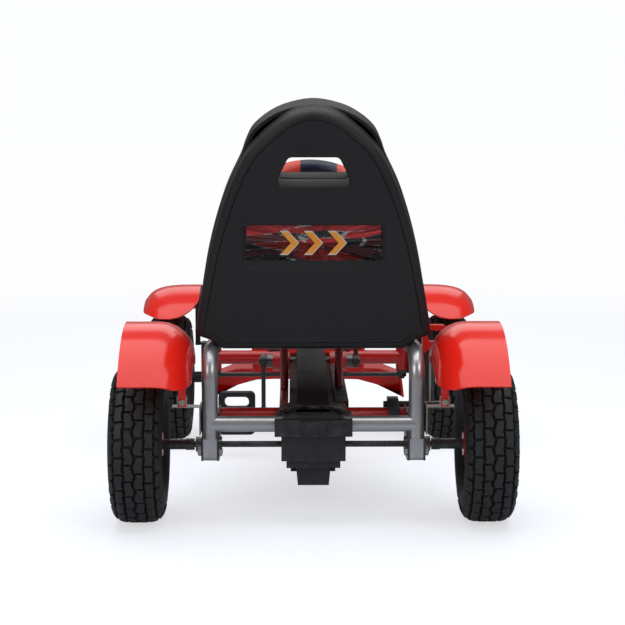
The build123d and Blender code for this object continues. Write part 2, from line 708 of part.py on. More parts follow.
def seat_front_shell():
    """Sitting half of the seat: headrest, bolstered back and a bucket pan."""
    near = seat_back_depth + 0.1
    far = near + seat_front_depth
    rim_face = Polygon(*oriented(slot_outline))
    back = in_back(back_outline(head_edge), near, far)
    back = back - in_back(back_outline(head_edge, 40), far - 25, far + 1)
    back = back - in_back(back_outline(head_edge, seat_wall), near - 1, far - 25 - seat_wall)
    ring = in_back(back_outline(head_edge, seat_wall), near - 1, far - seat_wall)
    back = back - (ring - in_back(back_outline(head_edge, 40 - seat_wall), near - 2, far))
    back = back + in_back(offset(rim_face, amount=4), near, far - 26)
    back = back - in_back(fillet(rim_face.vertices(), 8), near - 1, far + 1)
    half = seat_pan_half_width
    front = at_rear(seat_pan_front)
    pan = block((-half, half), (at_rear(45), front), (seat_pan_bottom, seat_bolster_top))
    pan = fillet(pan.edges().filter_by(Axis.Z), 20)
    pan = pan - block((42 - half, half - 42), (at_rear(30), front + 5), (seat_pan_top, seat_bolster_top + 5))
    pan = pan - block((seat_wall - half, half - seat_wall), (at_rear(60), front - seat_wall),
                      (seat_pan_bottom - 1, seat_pan_top - seat_wall))
    for side in (-1, 1):
        x = sorted((side * (half - 42 + seat_wall), side * (half - seat_wall)))
        pan = pan - block(x, (at_rear(60), front - 16), (seat_pan_bottom, seat_bolster_top - seat_wall))
        boss = rod_z(side * seat_bolt_x, at_rear(seat_bar_y), (seat_bar_z + 4, seat_pan_top - 1), 10)
        pan = pan + (boss - seat_bar(seat_gap))
        pan = pan - rod_z(side * seat_bolt_x, at_rear(seat_bar_y), (seat_bar_z, seat_pan_top + 1), 3 + seat_gap)
    seat = back + (pan - in_back(Rectangle(600, 1200), -200, near))
    for side in (-1, 1):
        seat = seat - rod_z(side * seat_tube_x, at_rear(seat_tube_y), (250, 330), seat_tube_radius + 2)
    return seat


# Fenders and nose

def rear_fender(side):
    """Wheel arch with a large round inner shoulder, and the tab that meets its stay."""
    def section(inset):
        radius = rear_fender_shoulder - inset
        top = rear_fender_radius - inset
        centre_x = rear_fender_inner_x + rear_fender_shoulder
        centre_r = rear_fender_radius - rear_fender_shoulder
        arc = []
        for step in range(7):
            angle = math.radians(90 + 15 * step)
            arc.append((centre_x + radius * math.cos(angle), centre_r + radius * math.sin(angle)))
        return [(rear_fender_outer_x, top)] + arc + [(rear_fender_inner_x + inset, centre_r - 12)]

    outline = section(0) + section(fender_wall)[::-1]
    arc = rear_fender_end - rear_fender_start
    arch = turned(outline, rear_y, rear_fender_start, arc)
    arch = arch & block((0, 400), (rear_y - 300, rear_y + 300), (rear_fender_trim_z, 400))
    tab = block((200, 212), (at_rear(-62), at_rear(-59)), (196, 286))
    return on_side(arch + tab, side)


def fender_stays():
    """Folded zinc strips from the bracket cheeks to the fender tabs."""
    pieces = []
    for side in (-1, 1):
        y = (at_rear(-59 + body_gap), at_rear(-39))
        stay = block((cheek_outer_x + body_gap, 222), y, (194, 196)) + block(
            (cheek_outer_x + body_gap, cheek_outer_x + 2.3), (y[0], at_rear(-12)), (150, 196))
        stay = stay + block((198, 214), (y[0], y[0] + 2), (194, 212))
        pieces.append(on_side(stay, side))
    return group(*pieces)


def front_fender(side):
    """Arched blade over the front tyre, bowed down at its outer edge, with rounded corners in plan."""
    inner_x = front_fender_inner_x
    outer_x = front_fender_outer_x
    top = front_fender_radius
    outer = [(inner_x, top), (inner_x + 50, top - 1), (outer_x - 30, top - 6), (outer_x - 12, top - 15),
             (outer_x, top - 29)]
    inner = [(x - 0.6 * fender_wall, radius - fender_wall) for x, radius in outer]
    inner[0] = (inner_x, top - fender_wall)
    inner[-1] = (outer_x - fender_wall, top - 29)
    arch = turned(outer + inner[::-1], front_y, front_fender_start, front_fender_end - front_fender_start)
    reach = top * math.sin(math.radians(front_fender_end))
    blank = block((inner_x, outer_x), (front_y - reach, front_y + 145), (200, 330))
    blank = fillet(blank.edges().filter_by(Axis.Z).sort_by(Axis.X)[-2:], 52)
    rear_inner = blank.edges().filter_by(Axis.Z).sort_by(Axis.Y)[0:2].sort_by(Axis.X)[0]
    return on_side(arch & fillet(rear_inner, 55), side)


def knuckle(side):
    """Fork over the kingpin sleeve, stub axle, steering arm and fender stay."""
    boss_low = beam_z - kingpin_boss_height / 2
    boss_high = beam_z + kingpin_boss_height / 2
    x = kingpin_x
    stub_end = front_wheel_x + hub_length / 2 - 2
    stub_start = front_wheel_x - hub_length / 2 - 24
    shape = block((x - 12, x + 26), (front_y - 14, front_y + 14), (boss_high + body_gap, boss_high + 6))
    shape = shape + block((x - 12, x + 26), (front_y - 14, front_y + 14), (boss_low - 6, boss_low - body_gap))
    shape = shape + block((x + 18, x + 26), (front_y - 16, front_y + 16), (108, boss_high + 6))
    shape = shape + rod_x((stub_start, stub_end), front_y, axle_z, kingpin_radius)
    shape = shape + rod_x((x + 18, front_wheel_x - hub_length / 2 - body_gap), front_y, axle_z, 11)
    shape = shape + rod_z(x, front_y, (boss_low - 6, boss_high + 12), kingpin_radius)
    arm = prism_z([(x - 10, front_y), (x + 10, front_y), (x + 9, tie_rod_y + 9), (x - 9, tie_rod_y + 9)],
                  boss_low - 6, boss_low - body_gap)
    shape = shape + arm + rod_z(x, tie_rod_y, (tie_rod_z - 7, boss_low - 1), 4)
    shape = shape + rod_z(x, tie_rod_y, (tie_rod_z - 8, tie_rod_z - 5), 6.5)
    stay_top = axle_z + front_fender_radius - fender_wall
    shape = shape + rod_z(x + 33, front_y, (boss_high, stay_top - 6), 5)
    shape = shape + block((x + 18, x + 38), (front_y - 7, front_y + 7), (boss_high + 1, boss_high + 6))
    shape = shape + block((x + 26, x + 70), (front_y - 14, front_y + 14), (stay_top - 6, stay_top - 1.2))
    return on_side(shape, side)


def nose_panel():
    """Moulded front fairing: a sloping centre cowl over a wide lower lip, open behind and below."""
    def solid(inset):
        open_rear = 0 if inset == 0 else -40
        drop = 4 * inset
        top = 330 - inset
        tip = front_y + nose_overhang - 10 - inset
        cowl = prism_x([(front_y + 66 + open_rear, top), (front_y + 92, top), (tip, 152 - inset),
                        (tip, 84 - drop), (front_y + 150 + open_rear, 84 - drop),
                        (front_y + 66 + open_rear, 260)], inset - 125, 125 - inset)
        sides = [(125 - inset, front_y), (112 - inset, front_y + 190), (80 - inset, front_y + 300)]
        cowl = cowl & prism_z(sides + [(-x, y) for x, y in sides[::-1]], 0, 400)
        edge = [(203 - inset, front_y + 160 + open_rear), (197 - inset, front_y + 222),
                (150 - inset, front_y + nose_overhang - 16 - inset), (70, front_y + nose_overhang - inset)]
        lip = prism_z(edge + [(-x, y) for x, y in edge[::-1]], 0, 400)
        face = [(110, 78 - drop), (203 - inset, 55 - drop), (197 - inset, 104 - inset), (150, 118 - inset)]
        return cowl + (lip & prism_y(face + [(-x, z) for x, z in face[::-1]], front_y + 100, front_y + 300))

    return solid(0) - solid(3)


# Steering

def steering_column():
    """Column with the pitman arm at its foot; the arm's end holds both tie rods' pin with play."""
    column = rod(column_point(0), column_point(column_length - 10), column_radius)
    low = pitman_z - 1.5
    high = pitman_z + 1.5
    hole = tie_pin_radius + pitman_play
    arm = prism_x([(column_foot.Y - 6, column_foot.Z), (column_foot.Y + 4, column_foot.Z - 6),
                   (tie_rod_y - 13, low), (tie_rod_y - 6, low), (tie_rod_y - 6, high), (tie_rod_y - 17, high)], -5, 5)
    column = column + arm + rod_z(0, tie_rod_y, (low, high), hole + 4.5)
    return column - rod_z(0, tie_rod_y, (low - 8, high + 8), hole)


def steering_bushes():
    pieces = []
    for low, high in ((head_tube_low + 1, head_tube_low + 25), (head_tube_high - 25, head_tube_high - 1)):
        bush = rod(column_point(low), column_point(high), head_tube_radius - 2.5 - seat_gap)
        pieces.append(bush - rod(column_point(low), column_point(high), column_radius + running_gap))
    return group(*pieces)


def wheel_plane():
    return Plane(origin=column_point(column_length), x_dir=(1, 0, 0), z_dir=column_direction)


def steering_wheel():
    """Rim, three spokes and a hub, square to the column."""
    wheel = wheel_plane() * Torus(steering_wheel_radius - steering_grip_radius, steering_grip_radius)
    for angle in (0, 180, 270):
        spoke = Rot(0, 0, angle) * (Pos((steering_wheel_radius - 10) / 2, 0, -4) * Box(steering_wheel_radius - 16, 26, 7))
        wheel = wheel + wheel_plane() * spoke
    hub = Pos(0, 0, -9) * Cylinder(30, 16)
    socket = Pos(0, 0, -14) * Cylinder(column_radius + seat_gap, 20)
    return wheel + wheel_plane() * hub - wheel_plane() * socket


def steering_pad():
    """Crash pad on the hub."""
    pad = Pos(0, 0, 9) * Cylinder(38, 18 - 2 * body_gap)
    pad = fillet(pad.edges().sort_by(Axis.Z)[-1], 8)
    return wheel_plane() * pad


def tie_rod(side):
    """Straight rod from the knuckle arm to the pitman; the left one carries the common pin on a low link."""
    z = tie_rod_z
    reach = 9.5 if side > 0 else 16
    shape = rod_x((reach, kingpin_x - 9), tie_rod_y, z, 4.5) + rod_z(kingpin_x, tie_rod_y, (z - 4, z + 4), 10)
    shape = shape - rod_z(kingpin_x, tie_rod_y, (z - 9, z + 9), 4 + running_gap)
    if side > 0:
        shape = shape + rod_z(0, tie_rod_y, (z - 1.7, z + 4), 10)
        return shape - rod_z(0, tie_rod_y, (z - 9, z + 9), tie_pin_radius + body_gap)
    shape = shape + rod_z(0, tie_rod_y, (z - 10, z - 3), 9) + rod_z(0, tie_rod_y, (z - 10, pitman_z + 8), tie_pin_radius)
    shape = shape + rod_x((0, reach + 3), tie_rod_y, z - 6.5, 3) + rod_z(reach, tie_rod_y, (z - 9, z), 3.5)
    return on_side(shape, side)


# Hand brake

shoe_inner = wheel_radius + 1.2
shoe_outer = shoe_inner + 5
shoe_angle = math.radians(29.5)
lever_foot = Vector(192, at_rear(brake_shaft_y), brake_shaft_z)
lever_top = Vector(200, at_rear(160), 258)


def brake_swing(shape):
    """From the braking position back to rest."""
    axis = Axis((0, at_rear(brake_shaft_y), brake_shaft_z), (1, 0, 0))
    return shape.rotate(axis, -brake_throw)


def shoe_bar(grow=0.0):
    """The bar across the back of the shoe while the brake is on, or the room it needs."""
    reach = shoe_outer + 5
    y = at_rear(reach * math.sin(shoe_angle))
    return rod_x((220, 300), y, axle_z + reach * math.cos(shoe_angle), 5 + grow)


def brake_lever():
    """Cross shaft with the hand lever inboard of the fender and the shoe arm outboard."""
    y = at_rear(brake_shaft_y)
    reach = shoe_outer + 5
    bar = (220, at_rear(reach * math.sin(shoe_angle)), axle_z + reach * math.cos(shoe_angle))
    lever = rod_x((116, 226), y, brake_shaft_z, brake_shaft_radius) + rod(lever_foot, lever_top, 6)
    return lever + brake_swing(rod((220, y, brake_shaft_z), bar, 6) + shoe_bar())


def brake_shoes():
    """Curved rubber-faced shoe, with a saddle for its bar, that closes on the right rear tyre."""
    plate = turned([(245, shoe_inner), (311, shoe_inner), (311, shoe_outer), (245, shoe_outer)], rear_y, -36, 13)
    saddle = turned([(262, shoe_outer - 1), (294, shoe_outer - 1), (294, shoe_outer + 9), (262, shoe_outer + 9)],
                    rear_y, -33.5, 8)
    return brake_swing(plate + saddle - shoe_bar(seat_gap))


def brake_grip():
    """Loop handle on the lever's end."""
    x = (186, 228)
    loop = block(x, (at_rear(150), at_rear(166)), (250, 298))
    loop = fillet(loop.edges().filter_by(Axis.Y), 9)
    hole = block((x[0] + 9, x[1] - 9), (at_rear(140), at_rear(180)), (270, 289))
    hole = fillet(hole.edges().filter_by(Axis.Y), 6)
    past_end = (lever_top - lever_foot).normalized() * 2
    return loop - hole - rod(lever_foot, lever_top + past_end, 6 + seat_gap)


def brake_mount():
    """Lug on the rear cross tube that carries the brake shaft."""
    ends = (122, 140)
    y = at_rear(cross_tube_y)
    shaft_y = at_rear(brake_shaft_y)
    lug = prism_x([(y - 17, 148), (y + 17, 148), (shaft_y + 12, 170), (shaft_y + 12, 190), (shaft_y - 12, 190),
                   (y - 17, 180)], *ends)
    lug = lug - rod_x((ends[0] - 1, ends[1] + 1), y, cross_tube_z, cross_tube_radius + seat_gap)
    return lug - rod_x((ends[0] - 1, ends[1] + 1), shaft_y, brake_shaft_z, brake_shaft_radius + running_gap)


# Fasteners

def hex_head(start, direction, radius, height):
    """A hexagonal head standing on a surface."""
    plane = Plane(origin=start, z_dir=direction)
    return extrude(plane * RegularPolygon(radius, 6), amount=height)


def frame_bolts():
    """Seat frame foot bolts and the bolts under the beam tongues."""
    pieces = []
    for side in (-1, 1):
        y = at_rear(seat_tube_y + 1)
        ends = sorted((side * (cheek_inner_x - 6), side * (cheek_outer_x + 6)))
        bolt = rod_x(ends, y, 122, 4)
        bolt = bolt + hex_head((side * cheek_outer_x, y, 122), (side, 0, 0), 7.5, 5)
        bolt = bolt + hex_head((side * cheek_inner_x, y, 122), (-side, 0, 0), 7.5, 5)
        pieces.append(bolt)
        for y in (front_y - 50, front_y - 28):
            pieces.append(hex_head((side * rail_x, y, rail_bottom - 5), (0, 0, -1), 7.5, 5))
    return group(*pieces)


def seat_bolts():
    """Screws down through the seat pan into the frame's front cross bar."""
    pieces = []
    for side in (-1, 1):
        screw = rod_z(side * seat_bolt_x, at_rear(seat_bar_y), (seat_bar_z - 9, seat_pan_top + 1), 3)
        screw = screw + rod_z(side * seat_bolt_x, at_rear(seat_bar_y), (seat_pan_top, seat_pan_top + 3), 8)
        pieces.append(screw)
    return group(*pieces)


def fender_bolts():
    """Fender tab bolts and the front fender stay bolts."""
    pieces = []
    for side in (-1, 1):
        y = at_rear(-62)
        pieces.append(hex_head((side * 206, y, 203), (0, -1, 0), 5.5, 4))
    return group(*pieces)


def wheel_parts():
    """Nodes of the four wheels."""
    nodes = {}
    for end, y, centre_x, shaft in (("rear", rear_y, rear_wheel_x, axle_radius),
                                    ("front", front_y, front_wheel_x, kingpin_radius)):
        for label, side in (("left", -1), ("right", 1)):
            centre = side * centre_x
            keyed = end == "rear" and side > 0
            name = f"{end}_{label}"
            nodes[f"tyre_{name}"] = tyre(centre, y)
            bore = shaft + (seat_gap if keyed else 0.6)
            wheel = rim(centre, y, bore)
            if not keyed:
                wheel = hub_seats(wheel, centre, y)
                nodes[f"hub_bearings_{name}"] = hub_bearings(centre, y, shaft)
            nodes[f"rim_{name}"] = wheel
            nodes[f"hub_cap_{name}"] = hub_cap(centre, y, side, shaft + 1)
    return nodes


def build():
    """Every node by name."""
    nodes = {
        "main_frame": main_frame(),
        "front_axle_beam": front_axle_beam(),
        "nose_bracket": nose_bracket(),
        "seat_support_frame": seat_support_frame(),
        "axle_brackets": axle_brackets(),
        "axle_bearings": axle_bearings(),
        "chain_guard": chain_guard(),
        "chain_guard_lower": chain_guard_lower(),
        "rear_case_lid": rear_case_lid(),
        "rear_case_tub": rear_case_tub(),
        "drive_chain": drive_chain(),
        "seat_front_shell": seat_front_shell(),
        "seat_back_shell": seat_back_shell(),
        "seat_decal": seat_decal(),
        "fender_stays": fender_stays(),
        "nose_panel": nose_panel(),
        "steering_bushes": steering_bushes(),
        "crank_bearings": crank_bearings(),
        "brake_mount": brake_mount(),
        "frame_bolts": frame_bolts(),
        "seat_bolts": seat_bolts(),
        "fender_bolts": fender_bolts(),
        "rear_axle": rear_axle(),
        "axle_hardware": axle_hardware(),
        "rear_sprocket": sprocket(rear_teeth, rear_pitch_radius, rear_y, axle_z, axle_radius + seat_gap),
        "front_sprocket": sprocket(front_teeth, front_pitch_radius, crank_y, crank_z, crank_axle_radius + seat_gap),
        "crank_axle": crank_axle(),
        "steering_column": steering_column(),
        "steering_wheel": steering_wheel(),
        "steering_pad": steering_pad(),
        "brake_lever": brake_lever(),
        "brake_shoes": brake_shoes(),
        "brake_grip": brake_grip(),
    }
    for label, side in (("left", -1), ("right", 1)):
        nodes[f"rear_fender_{label}"] = rear_fender(side)
        nodes[f"front_fender_{label}"] = front_fender(side)
        nodes[f"knuckle_{label}"] = knuckle(side)
        nodes[f"tie_rod_{label}"] = tie_rod(side)
        nodes[f"crank_arm_{label}"] = crank_arm(side)
        nodes[f"pedal_{label}"] = pedal(side)
    nodes.update(wheel_parts())
    return nodes


for node, shape in build().items():
    export_step(shape, f"parts/{node}.step")
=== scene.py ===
import json
import math
import bmesh
import bpy
import numpy as np
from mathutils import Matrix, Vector


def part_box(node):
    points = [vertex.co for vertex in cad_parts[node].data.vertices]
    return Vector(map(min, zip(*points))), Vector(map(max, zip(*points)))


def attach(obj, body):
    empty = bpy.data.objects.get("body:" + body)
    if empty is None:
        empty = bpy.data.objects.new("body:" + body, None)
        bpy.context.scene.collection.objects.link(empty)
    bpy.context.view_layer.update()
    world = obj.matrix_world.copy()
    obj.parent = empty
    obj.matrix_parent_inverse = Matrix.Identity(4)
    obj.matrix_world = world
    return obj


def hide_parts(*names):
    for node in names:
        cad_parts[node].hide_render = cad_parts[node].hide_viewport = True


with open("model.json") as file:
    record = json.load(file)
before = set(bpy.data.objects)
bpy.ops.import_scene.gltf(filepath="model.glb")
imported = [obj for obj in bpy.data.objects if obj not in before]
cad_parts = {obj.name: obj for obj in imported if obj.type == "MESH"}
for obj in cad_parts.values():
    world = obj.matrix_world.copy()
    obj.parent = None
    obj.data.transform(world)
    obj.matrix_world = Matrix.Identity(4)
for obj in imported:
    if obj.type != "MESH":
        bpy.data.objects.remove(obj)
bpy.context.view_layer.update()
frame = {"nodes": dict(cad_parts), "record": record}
nodes = frame["nodes"]
bodyOf = {node: body for body, members in frame["record"]["behaviour"]["bodies"].items() for node in members}
slotOf = {part["node"]: part["material_slot"] for part in frame["record"]["subparts"]}
mm = 0.001
rearAxle = (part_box("rear_axle")[0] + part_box("rear_axle")[1]) / 2
frontHub = (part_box("rim_front_left")[0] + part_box("rim_front_left")[1]) / 2
print("frame loaded")

# camera: behind the kart, a little above the seat, tipped down at the axle
view = {"x": -33 * mm, "back": 2712 * mm, "height": 657 * mm, "lens": 98.8, "tip": 6.72, "turn": 0.68}
camera = bpy.data.objects.new("camera", bpy.data.cameras.new("camera"))
camera.data.lens = view["lens"]
camera.data.sensor_width = 36
camera.location = (view["x"], rearAxle.y - view["back"], view["height"])
camera.rotation_euler = (math.radians(90 - view["tip"]), 0, -math.radians(view["turn"]))
bpy.context.scene.collection.objects.link(camera)
bpy.context.scene.camera = camera
print("camera placed")


# meshes

def gridMesh(name, points, wrapRows=False, wrapColumns=False, flip=False):
    # quads join each point of the (rows, columns, 3) array to the next one along both of its axes
    rows, columns = points.shape[:2]
    index = np.arange(rows * columns).reshape(rows, columns)
    if wrapRows:
        index = np.vstack([index, index[:1]])
    if wrapColumns:
        index = np.hstack([index, index[:, :1]])
    corners = [index[:-1, :-1], index[1:, :-1], index[1:, 1:], index[:-1, 1:]]
    quads = np.stack(corners[::-1] if flip else corners, -1).reshape(-1, 4)
    mesh = bpy.data.meshes.new(name)
    mesh.vertices.add(rows * columns)
    mesh.vertices.foreach_set("co", np.ascontiguousarray(points, np.float32).ravel())
    mesh.loops.add(quads.size)
    mesh.loops.foreach_set("vertex_index", quads.ravel().astype(np.int32))
    mesh.polygons.add(len(quads))
    mesh.polygons.foreach_set("loop_start", np.arange(0, quads.size, 4, dtype=np.int32))
    mesh.update(calc_edges=True)
    mesh.validate()
    return mesh


def smoothLine(points, count):
    # Catmull-Rom curve through the points, sampled at even steps of its length
    p = np.array(points, float)
    ends = np.vstack([2 * p[0] - p[1], p, 2 * p[-1] - p[-2]])
    t = np.linspace(0, 1, 24, endpoint=False)[:, None]
    spans = []
    for a, b, c, d in zip(ends, ends[1:], ends[2:], ends[3:]):
        bend, twist = 2 * a - 5 * b + 4 * c - d, 3 * b - a - 3 * c + d
        spans.append(0.5 * (2 * b + (c - a) * t + bend * t**2 + twist * t**3))
    return evenSteps(np.vstack(spans + [p[-1:]]), count)


def evenSteps(line, count):
    # the same line with its points at even steps of its length
    length = np.concatenate([[0], np.cumsum(np.linalg.norm(np.diff(line, axis=0), axis=1))])
    steps = np.linspace(0, length[-1], count)
    return np.stack([np.interp(steps, length, line[:, k]) for k in range(line.shape[1])], -1)


def tidyNormals(mesh):
    # doubles merged, then all faces turned outwards
    shape = bmesh.new()
    shape.from_mesh(mesh)
    bmesh.ops.remove_doubles(shape, verts=shape.verts, dist=2e-6)
    bmesh.ops.recalc_face_normals(shape, faces=shape.faces)
    shape.to_mesh(mesh)
    shape.free()


def addPiece(name, mesh, body, finish, replaced=(), smooth=35):
    piece = bpy.data.objects.new(name, mesh)
    bpy.context.scene.collection.objects.link(piece)
    mesh.materials.clear()
    mesh.materials.append(finish)
    mesh.shade_smooth()
    mesh.set_sharp_from_angle(angle=math.radians(smooth))
    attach(piece, body)
    if replaced:
        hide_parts(*replaced)
    return piece


def thicken(piece, wall, offset=-1):
    solid = piece.modifiers.new("wall", "SOLIDIFY")
    solid.thickness = wall
    solid.offset = offset
    return solid


def roundEdges(piece, width, segments=2, angle=40):
    bevel = piece.modifiers.new("edges", "BEVEL")
    bevel.width = width
    bevel.segments = segments
    bevel.limit_method = "ANGLE"
    bevel.angle_limit = math.radians(angle)
    bevel.harden_normals = False
    return bevel


# finishes

def newGroup(name, inputs, outputs):
    tree = bpy.data.node_groups.new(name, "ShaderNodeTree")
    for label, kind, value in inputs:
        socket = tree.interface.new_socket(label, in_out="INPUT", socket_type=kind)
        if value is not None:
            socket.default_value = value
    for label, kind in outputs:
        tree.interface.new_socket(label, in_out="OUTPUT", socket_type=kind)
    return tree, tree.nodes.new("NodeGroupInput"), tree.nodes.new("NodeGroupOutput")


def addMath(tree, operation, a, b=None, clamp=False):
    # one arithmetic step; an argument is a socket or a number
    step = tree.nodes.new("ShaderNodeMath")
    step.operation = operation
    step.use_clamp = clamp
    for slotNumber, value in enumerate((a, b)):
        if value is None:
            continue
        if isinstance(value, (int, float)):
            step.inputs[slotNumber].default_value = value
        else:
            tree.links.new(value, step.inputs[slotNumber])
    return step.outputs[0]


def addNoise(tree, vector, scale, detail=3.0, rough=0.55):
    noise = tree.nodes.new("ShaderNodeTexNoise")
    noise.inputs["Detail"].default_value = detail
    noise.inputs["Roughness"].default_value = rough
    tree.links.new(vector, noise.inputs["Vector"])
    if isinstance(scale, (int, float)):
        noise.inputs["Scale"].default_value = scale
    else:
        tree.links.new(scale, noise.inputs["Scale"])
    return noise.outputs["Fac"]


def addRange(tree, value, low, high, outLow=0.0, outHigh=1.0):
    spread = tree.nodes.new("ShaderNodeMapRange")
    for label, number in (("From Min", low), ("From Max", high), ("To Min", outLow), ("To Max", outHigh)):
        spread.inputs[label].default_value = number
    tree.links.new(value, spread.inputs["Value"])
    return spread.outputs["Result"]


def addMix(tree, mask, a, b):
    # colour a where the mask is 0, b where it is 1
    mix = tree.nodes.new("ShaderNodeMix")
    mix.data_type = "RGBA"
    for socket, value in ((mix.inputs[0], mask), (mix.inputs[6], a), (mix.inputs[7], b)):
        if isinstance(value, (tuple, list)):
            socket.default_value = (*value, 1.0)
        elif isinstance(value, (int, float)):
            socket.default_value = value
        else:
            tree.links.new(value, socket)
    return mix.outputs[2]


def grainGroup():
    # fine pits and a slow drift of tone: small noise added to small cells, and a large noise by itself
    tree, inlet, outlet = newGroup("surfaceGrain", [("Vector", "NodeSocketVector", None),
                                   ("Scale", "NodeSocketFloat", 400.0)],
                                   [("Height", "NodeSocketFloat"), ("Tone", "NodeSocketFloat")])
    fine = addNoise(tree, inlet.outputs["Vector"], inlet.outputs["Scale"], 2.0)
    cells = tree.nodes.new("ShaderNodeTexVoronoi")
    tree.links.new(inlet.outputs["Vector"], cells.inputs["Vector"])
    tree.links.new(inlet.outputs["Scale"], cells.inputs["Scale"])
    tree.links.new(addMath(tree, "ADD", fine, addMath(tree, "MULTIPLY", cells.outputs["Distance"], 0.6)),
                   outlet.inputs["Height"])
    tree.links.new(addNoise(tree, inlet.outputs["Vector"], 9.0, 4.0, 0.6), outlet.inputs["Tone"])
    return tree


def wearAndHighlightGroup():
    # rubbed edges, and on the gloss black a pale painted highlight along the edges: the curvature of the surface,
    # broken up by noise
    tree, inlet, outlet = newGroup("edgeWearAndHighlight", [("Vector", "NodeSocketVector", None),
                                   ("Amount", "NodeSocketFloat", 0.5)], [("Mask", "NodeSocketFloat")])
    geometry = tree.nodes.new("ShaderNodeNewGeometry")
    edge = addRange(tree, geometry.outputs["Pointiness"], 0.52, 0.60)
    patches = addRange(tree, addNoise(tree, inlet.outputs["Vector"], 60.0, 5.0, 0.7), 0.42, 0.62)
    mask = addMath(tree, "MULTIPLY", addMath(tree, "MULTIPLY", edge, patches), inlet.outputs["Amount"], True)
    tree.links.new(mask, outlet.inputs["Mask"])
    return tree


def dustGroup():
    # dust that settles on faces that look up, in drifts
    tree, inlet, outlet = newGroup("settledDust", [("Vector", "NodeSocketVector", None),
                                   ("Amount", "NodeSocketFloat", 0.2)], [("Mask", "NodeSocketFloat")])
    geometry = tree.nodes.new("ShaderNodeNewGeometry")
    parts = tree.nodes.new("ShaderNodeSeparateXYZ")
    tree.links.new(geometry.outputs["Normal"], parts.inputs[0])
    up = addRange(tree, parts.outputs["Z"], 0.2, 1.0)
    drift = addRange(tree, addNoise(tree, inlet.outputs["Vector"], 22.0, 6.0, 0.65), 0.35, 0.75)
    mask = addMath(tree, "MULTIPLY", addMath(tree, "MULTIPLY", up, drift), inlet.outputs["Amount"], True)
    tree.links.new(mask, outlet.inputs["Mask"])
    return tree


grain, wearAndHighlight, dust = grainGroup(), wearAndHighlightGroup(), dustGroup()


def addGroup(tree, group, vector, **values):
    step = tree.nodes.new("ShaderNodeGroup")
    step.node_tree = group
    tree.links.new(vector, step.inputs["Vector"])
    for label, number in values.items():
        step.inputs[label].default_value = number
    return step


def startMaterial(name):
    material = bpy.data.materials.new(name)
    material.use_nodes = True
    tree = material.node_tree
    place = tree.nodes.new("ShaderNodeTexCoord").outputs["Object"]
    return material, tree, tree.nodes["Principled BSDF"], place


def finishMaterial(look, colourOf=None):
    # two close tones drift over the surface, edges show the worn colour (on the gloss black this is a pale painted edge
    # highlight), upward faces the dust, and the grain lifts it
    material, tree, shader, place = startMaterial(look["name"])
    grains = addGroup(tree, grain, place, Scale=look["grainScale"])
    tone = addRange(tree, grains.outputs["Tone"], 0.3, 0.7)
    colour = colourOf(tree, place) if colourOf else addMix(tree, tone, look["colour"], look["second"])
    # the edge mask lays on the worn colour: real wear on most finishes, a pale painted edge highlight on the gloss
    # black
    wearAndHighlightMask = addGroup(tree, wearAndHighlight, place, Amount=look["wearAndHighlight"]).outputs["Mask"]
    colour = addMix(tree, wearAndHighlightMask, colour, look["wornAndHighlightColour"])
    settled = addGroup(tree, dust, place, Amount=look["dust"]).outputs["Mask"]
    colour = addMix(tree, settled, colour, (0.42, 0.40, 0.37))
    tree.links.new(colour, shader.inputs["Base Color"])
    rough = addRange(tree, grains.outputs["Tone"], 0.3, 0.7, look["rough"][0], look["rough"][1])
    rough = addMath(tree, "ADD", rough, addMath(tree, "MULTIPLY", settled, 0.4), True)
    tree.links.new(rough, shader.inputs["Roughness"])
    shader.inputs["Metallic"].default_value = look["metal"]
    shader.inputs["Coat Weight"].default_value = look["coat"]
    shader.inputs["Specular IOR Level"].default_value = look["shine"]
    shader.inputs["Coat Roughness"].default_value = 0.08
    bump = tree.nodes.new("ShaderNodeBump")
    bump.inputs["Strength"].default_value = look["bump"]
    bump.inputs["Distance"].default_value = 0.0006
    tree.links.new(grains.outputs["Height"], bump.inputs["Height"])
    tree.links.new(bump.outputs["Normal"], shader.inputs["Normal"])
    return material


def looks(name, colour, second, rough, grainScale=400.0, bump=0.2, metal=0.0, coat=0.0, wearAndHighlight=0.1,
          wornAndHighlightColour=(0.5, 0.5, 0.5), dust=0.05, shine=0.5):
    return dict(name=name, colour=colour, second=second, rough=rough, grainScale=grainScale, bump=bump, metal=metal,
                coat=coat, wearAndHighlight=wearAndHighlight, wornAndHighlightColour=wornAndHighlightColour, dust=dust, shine=shine)


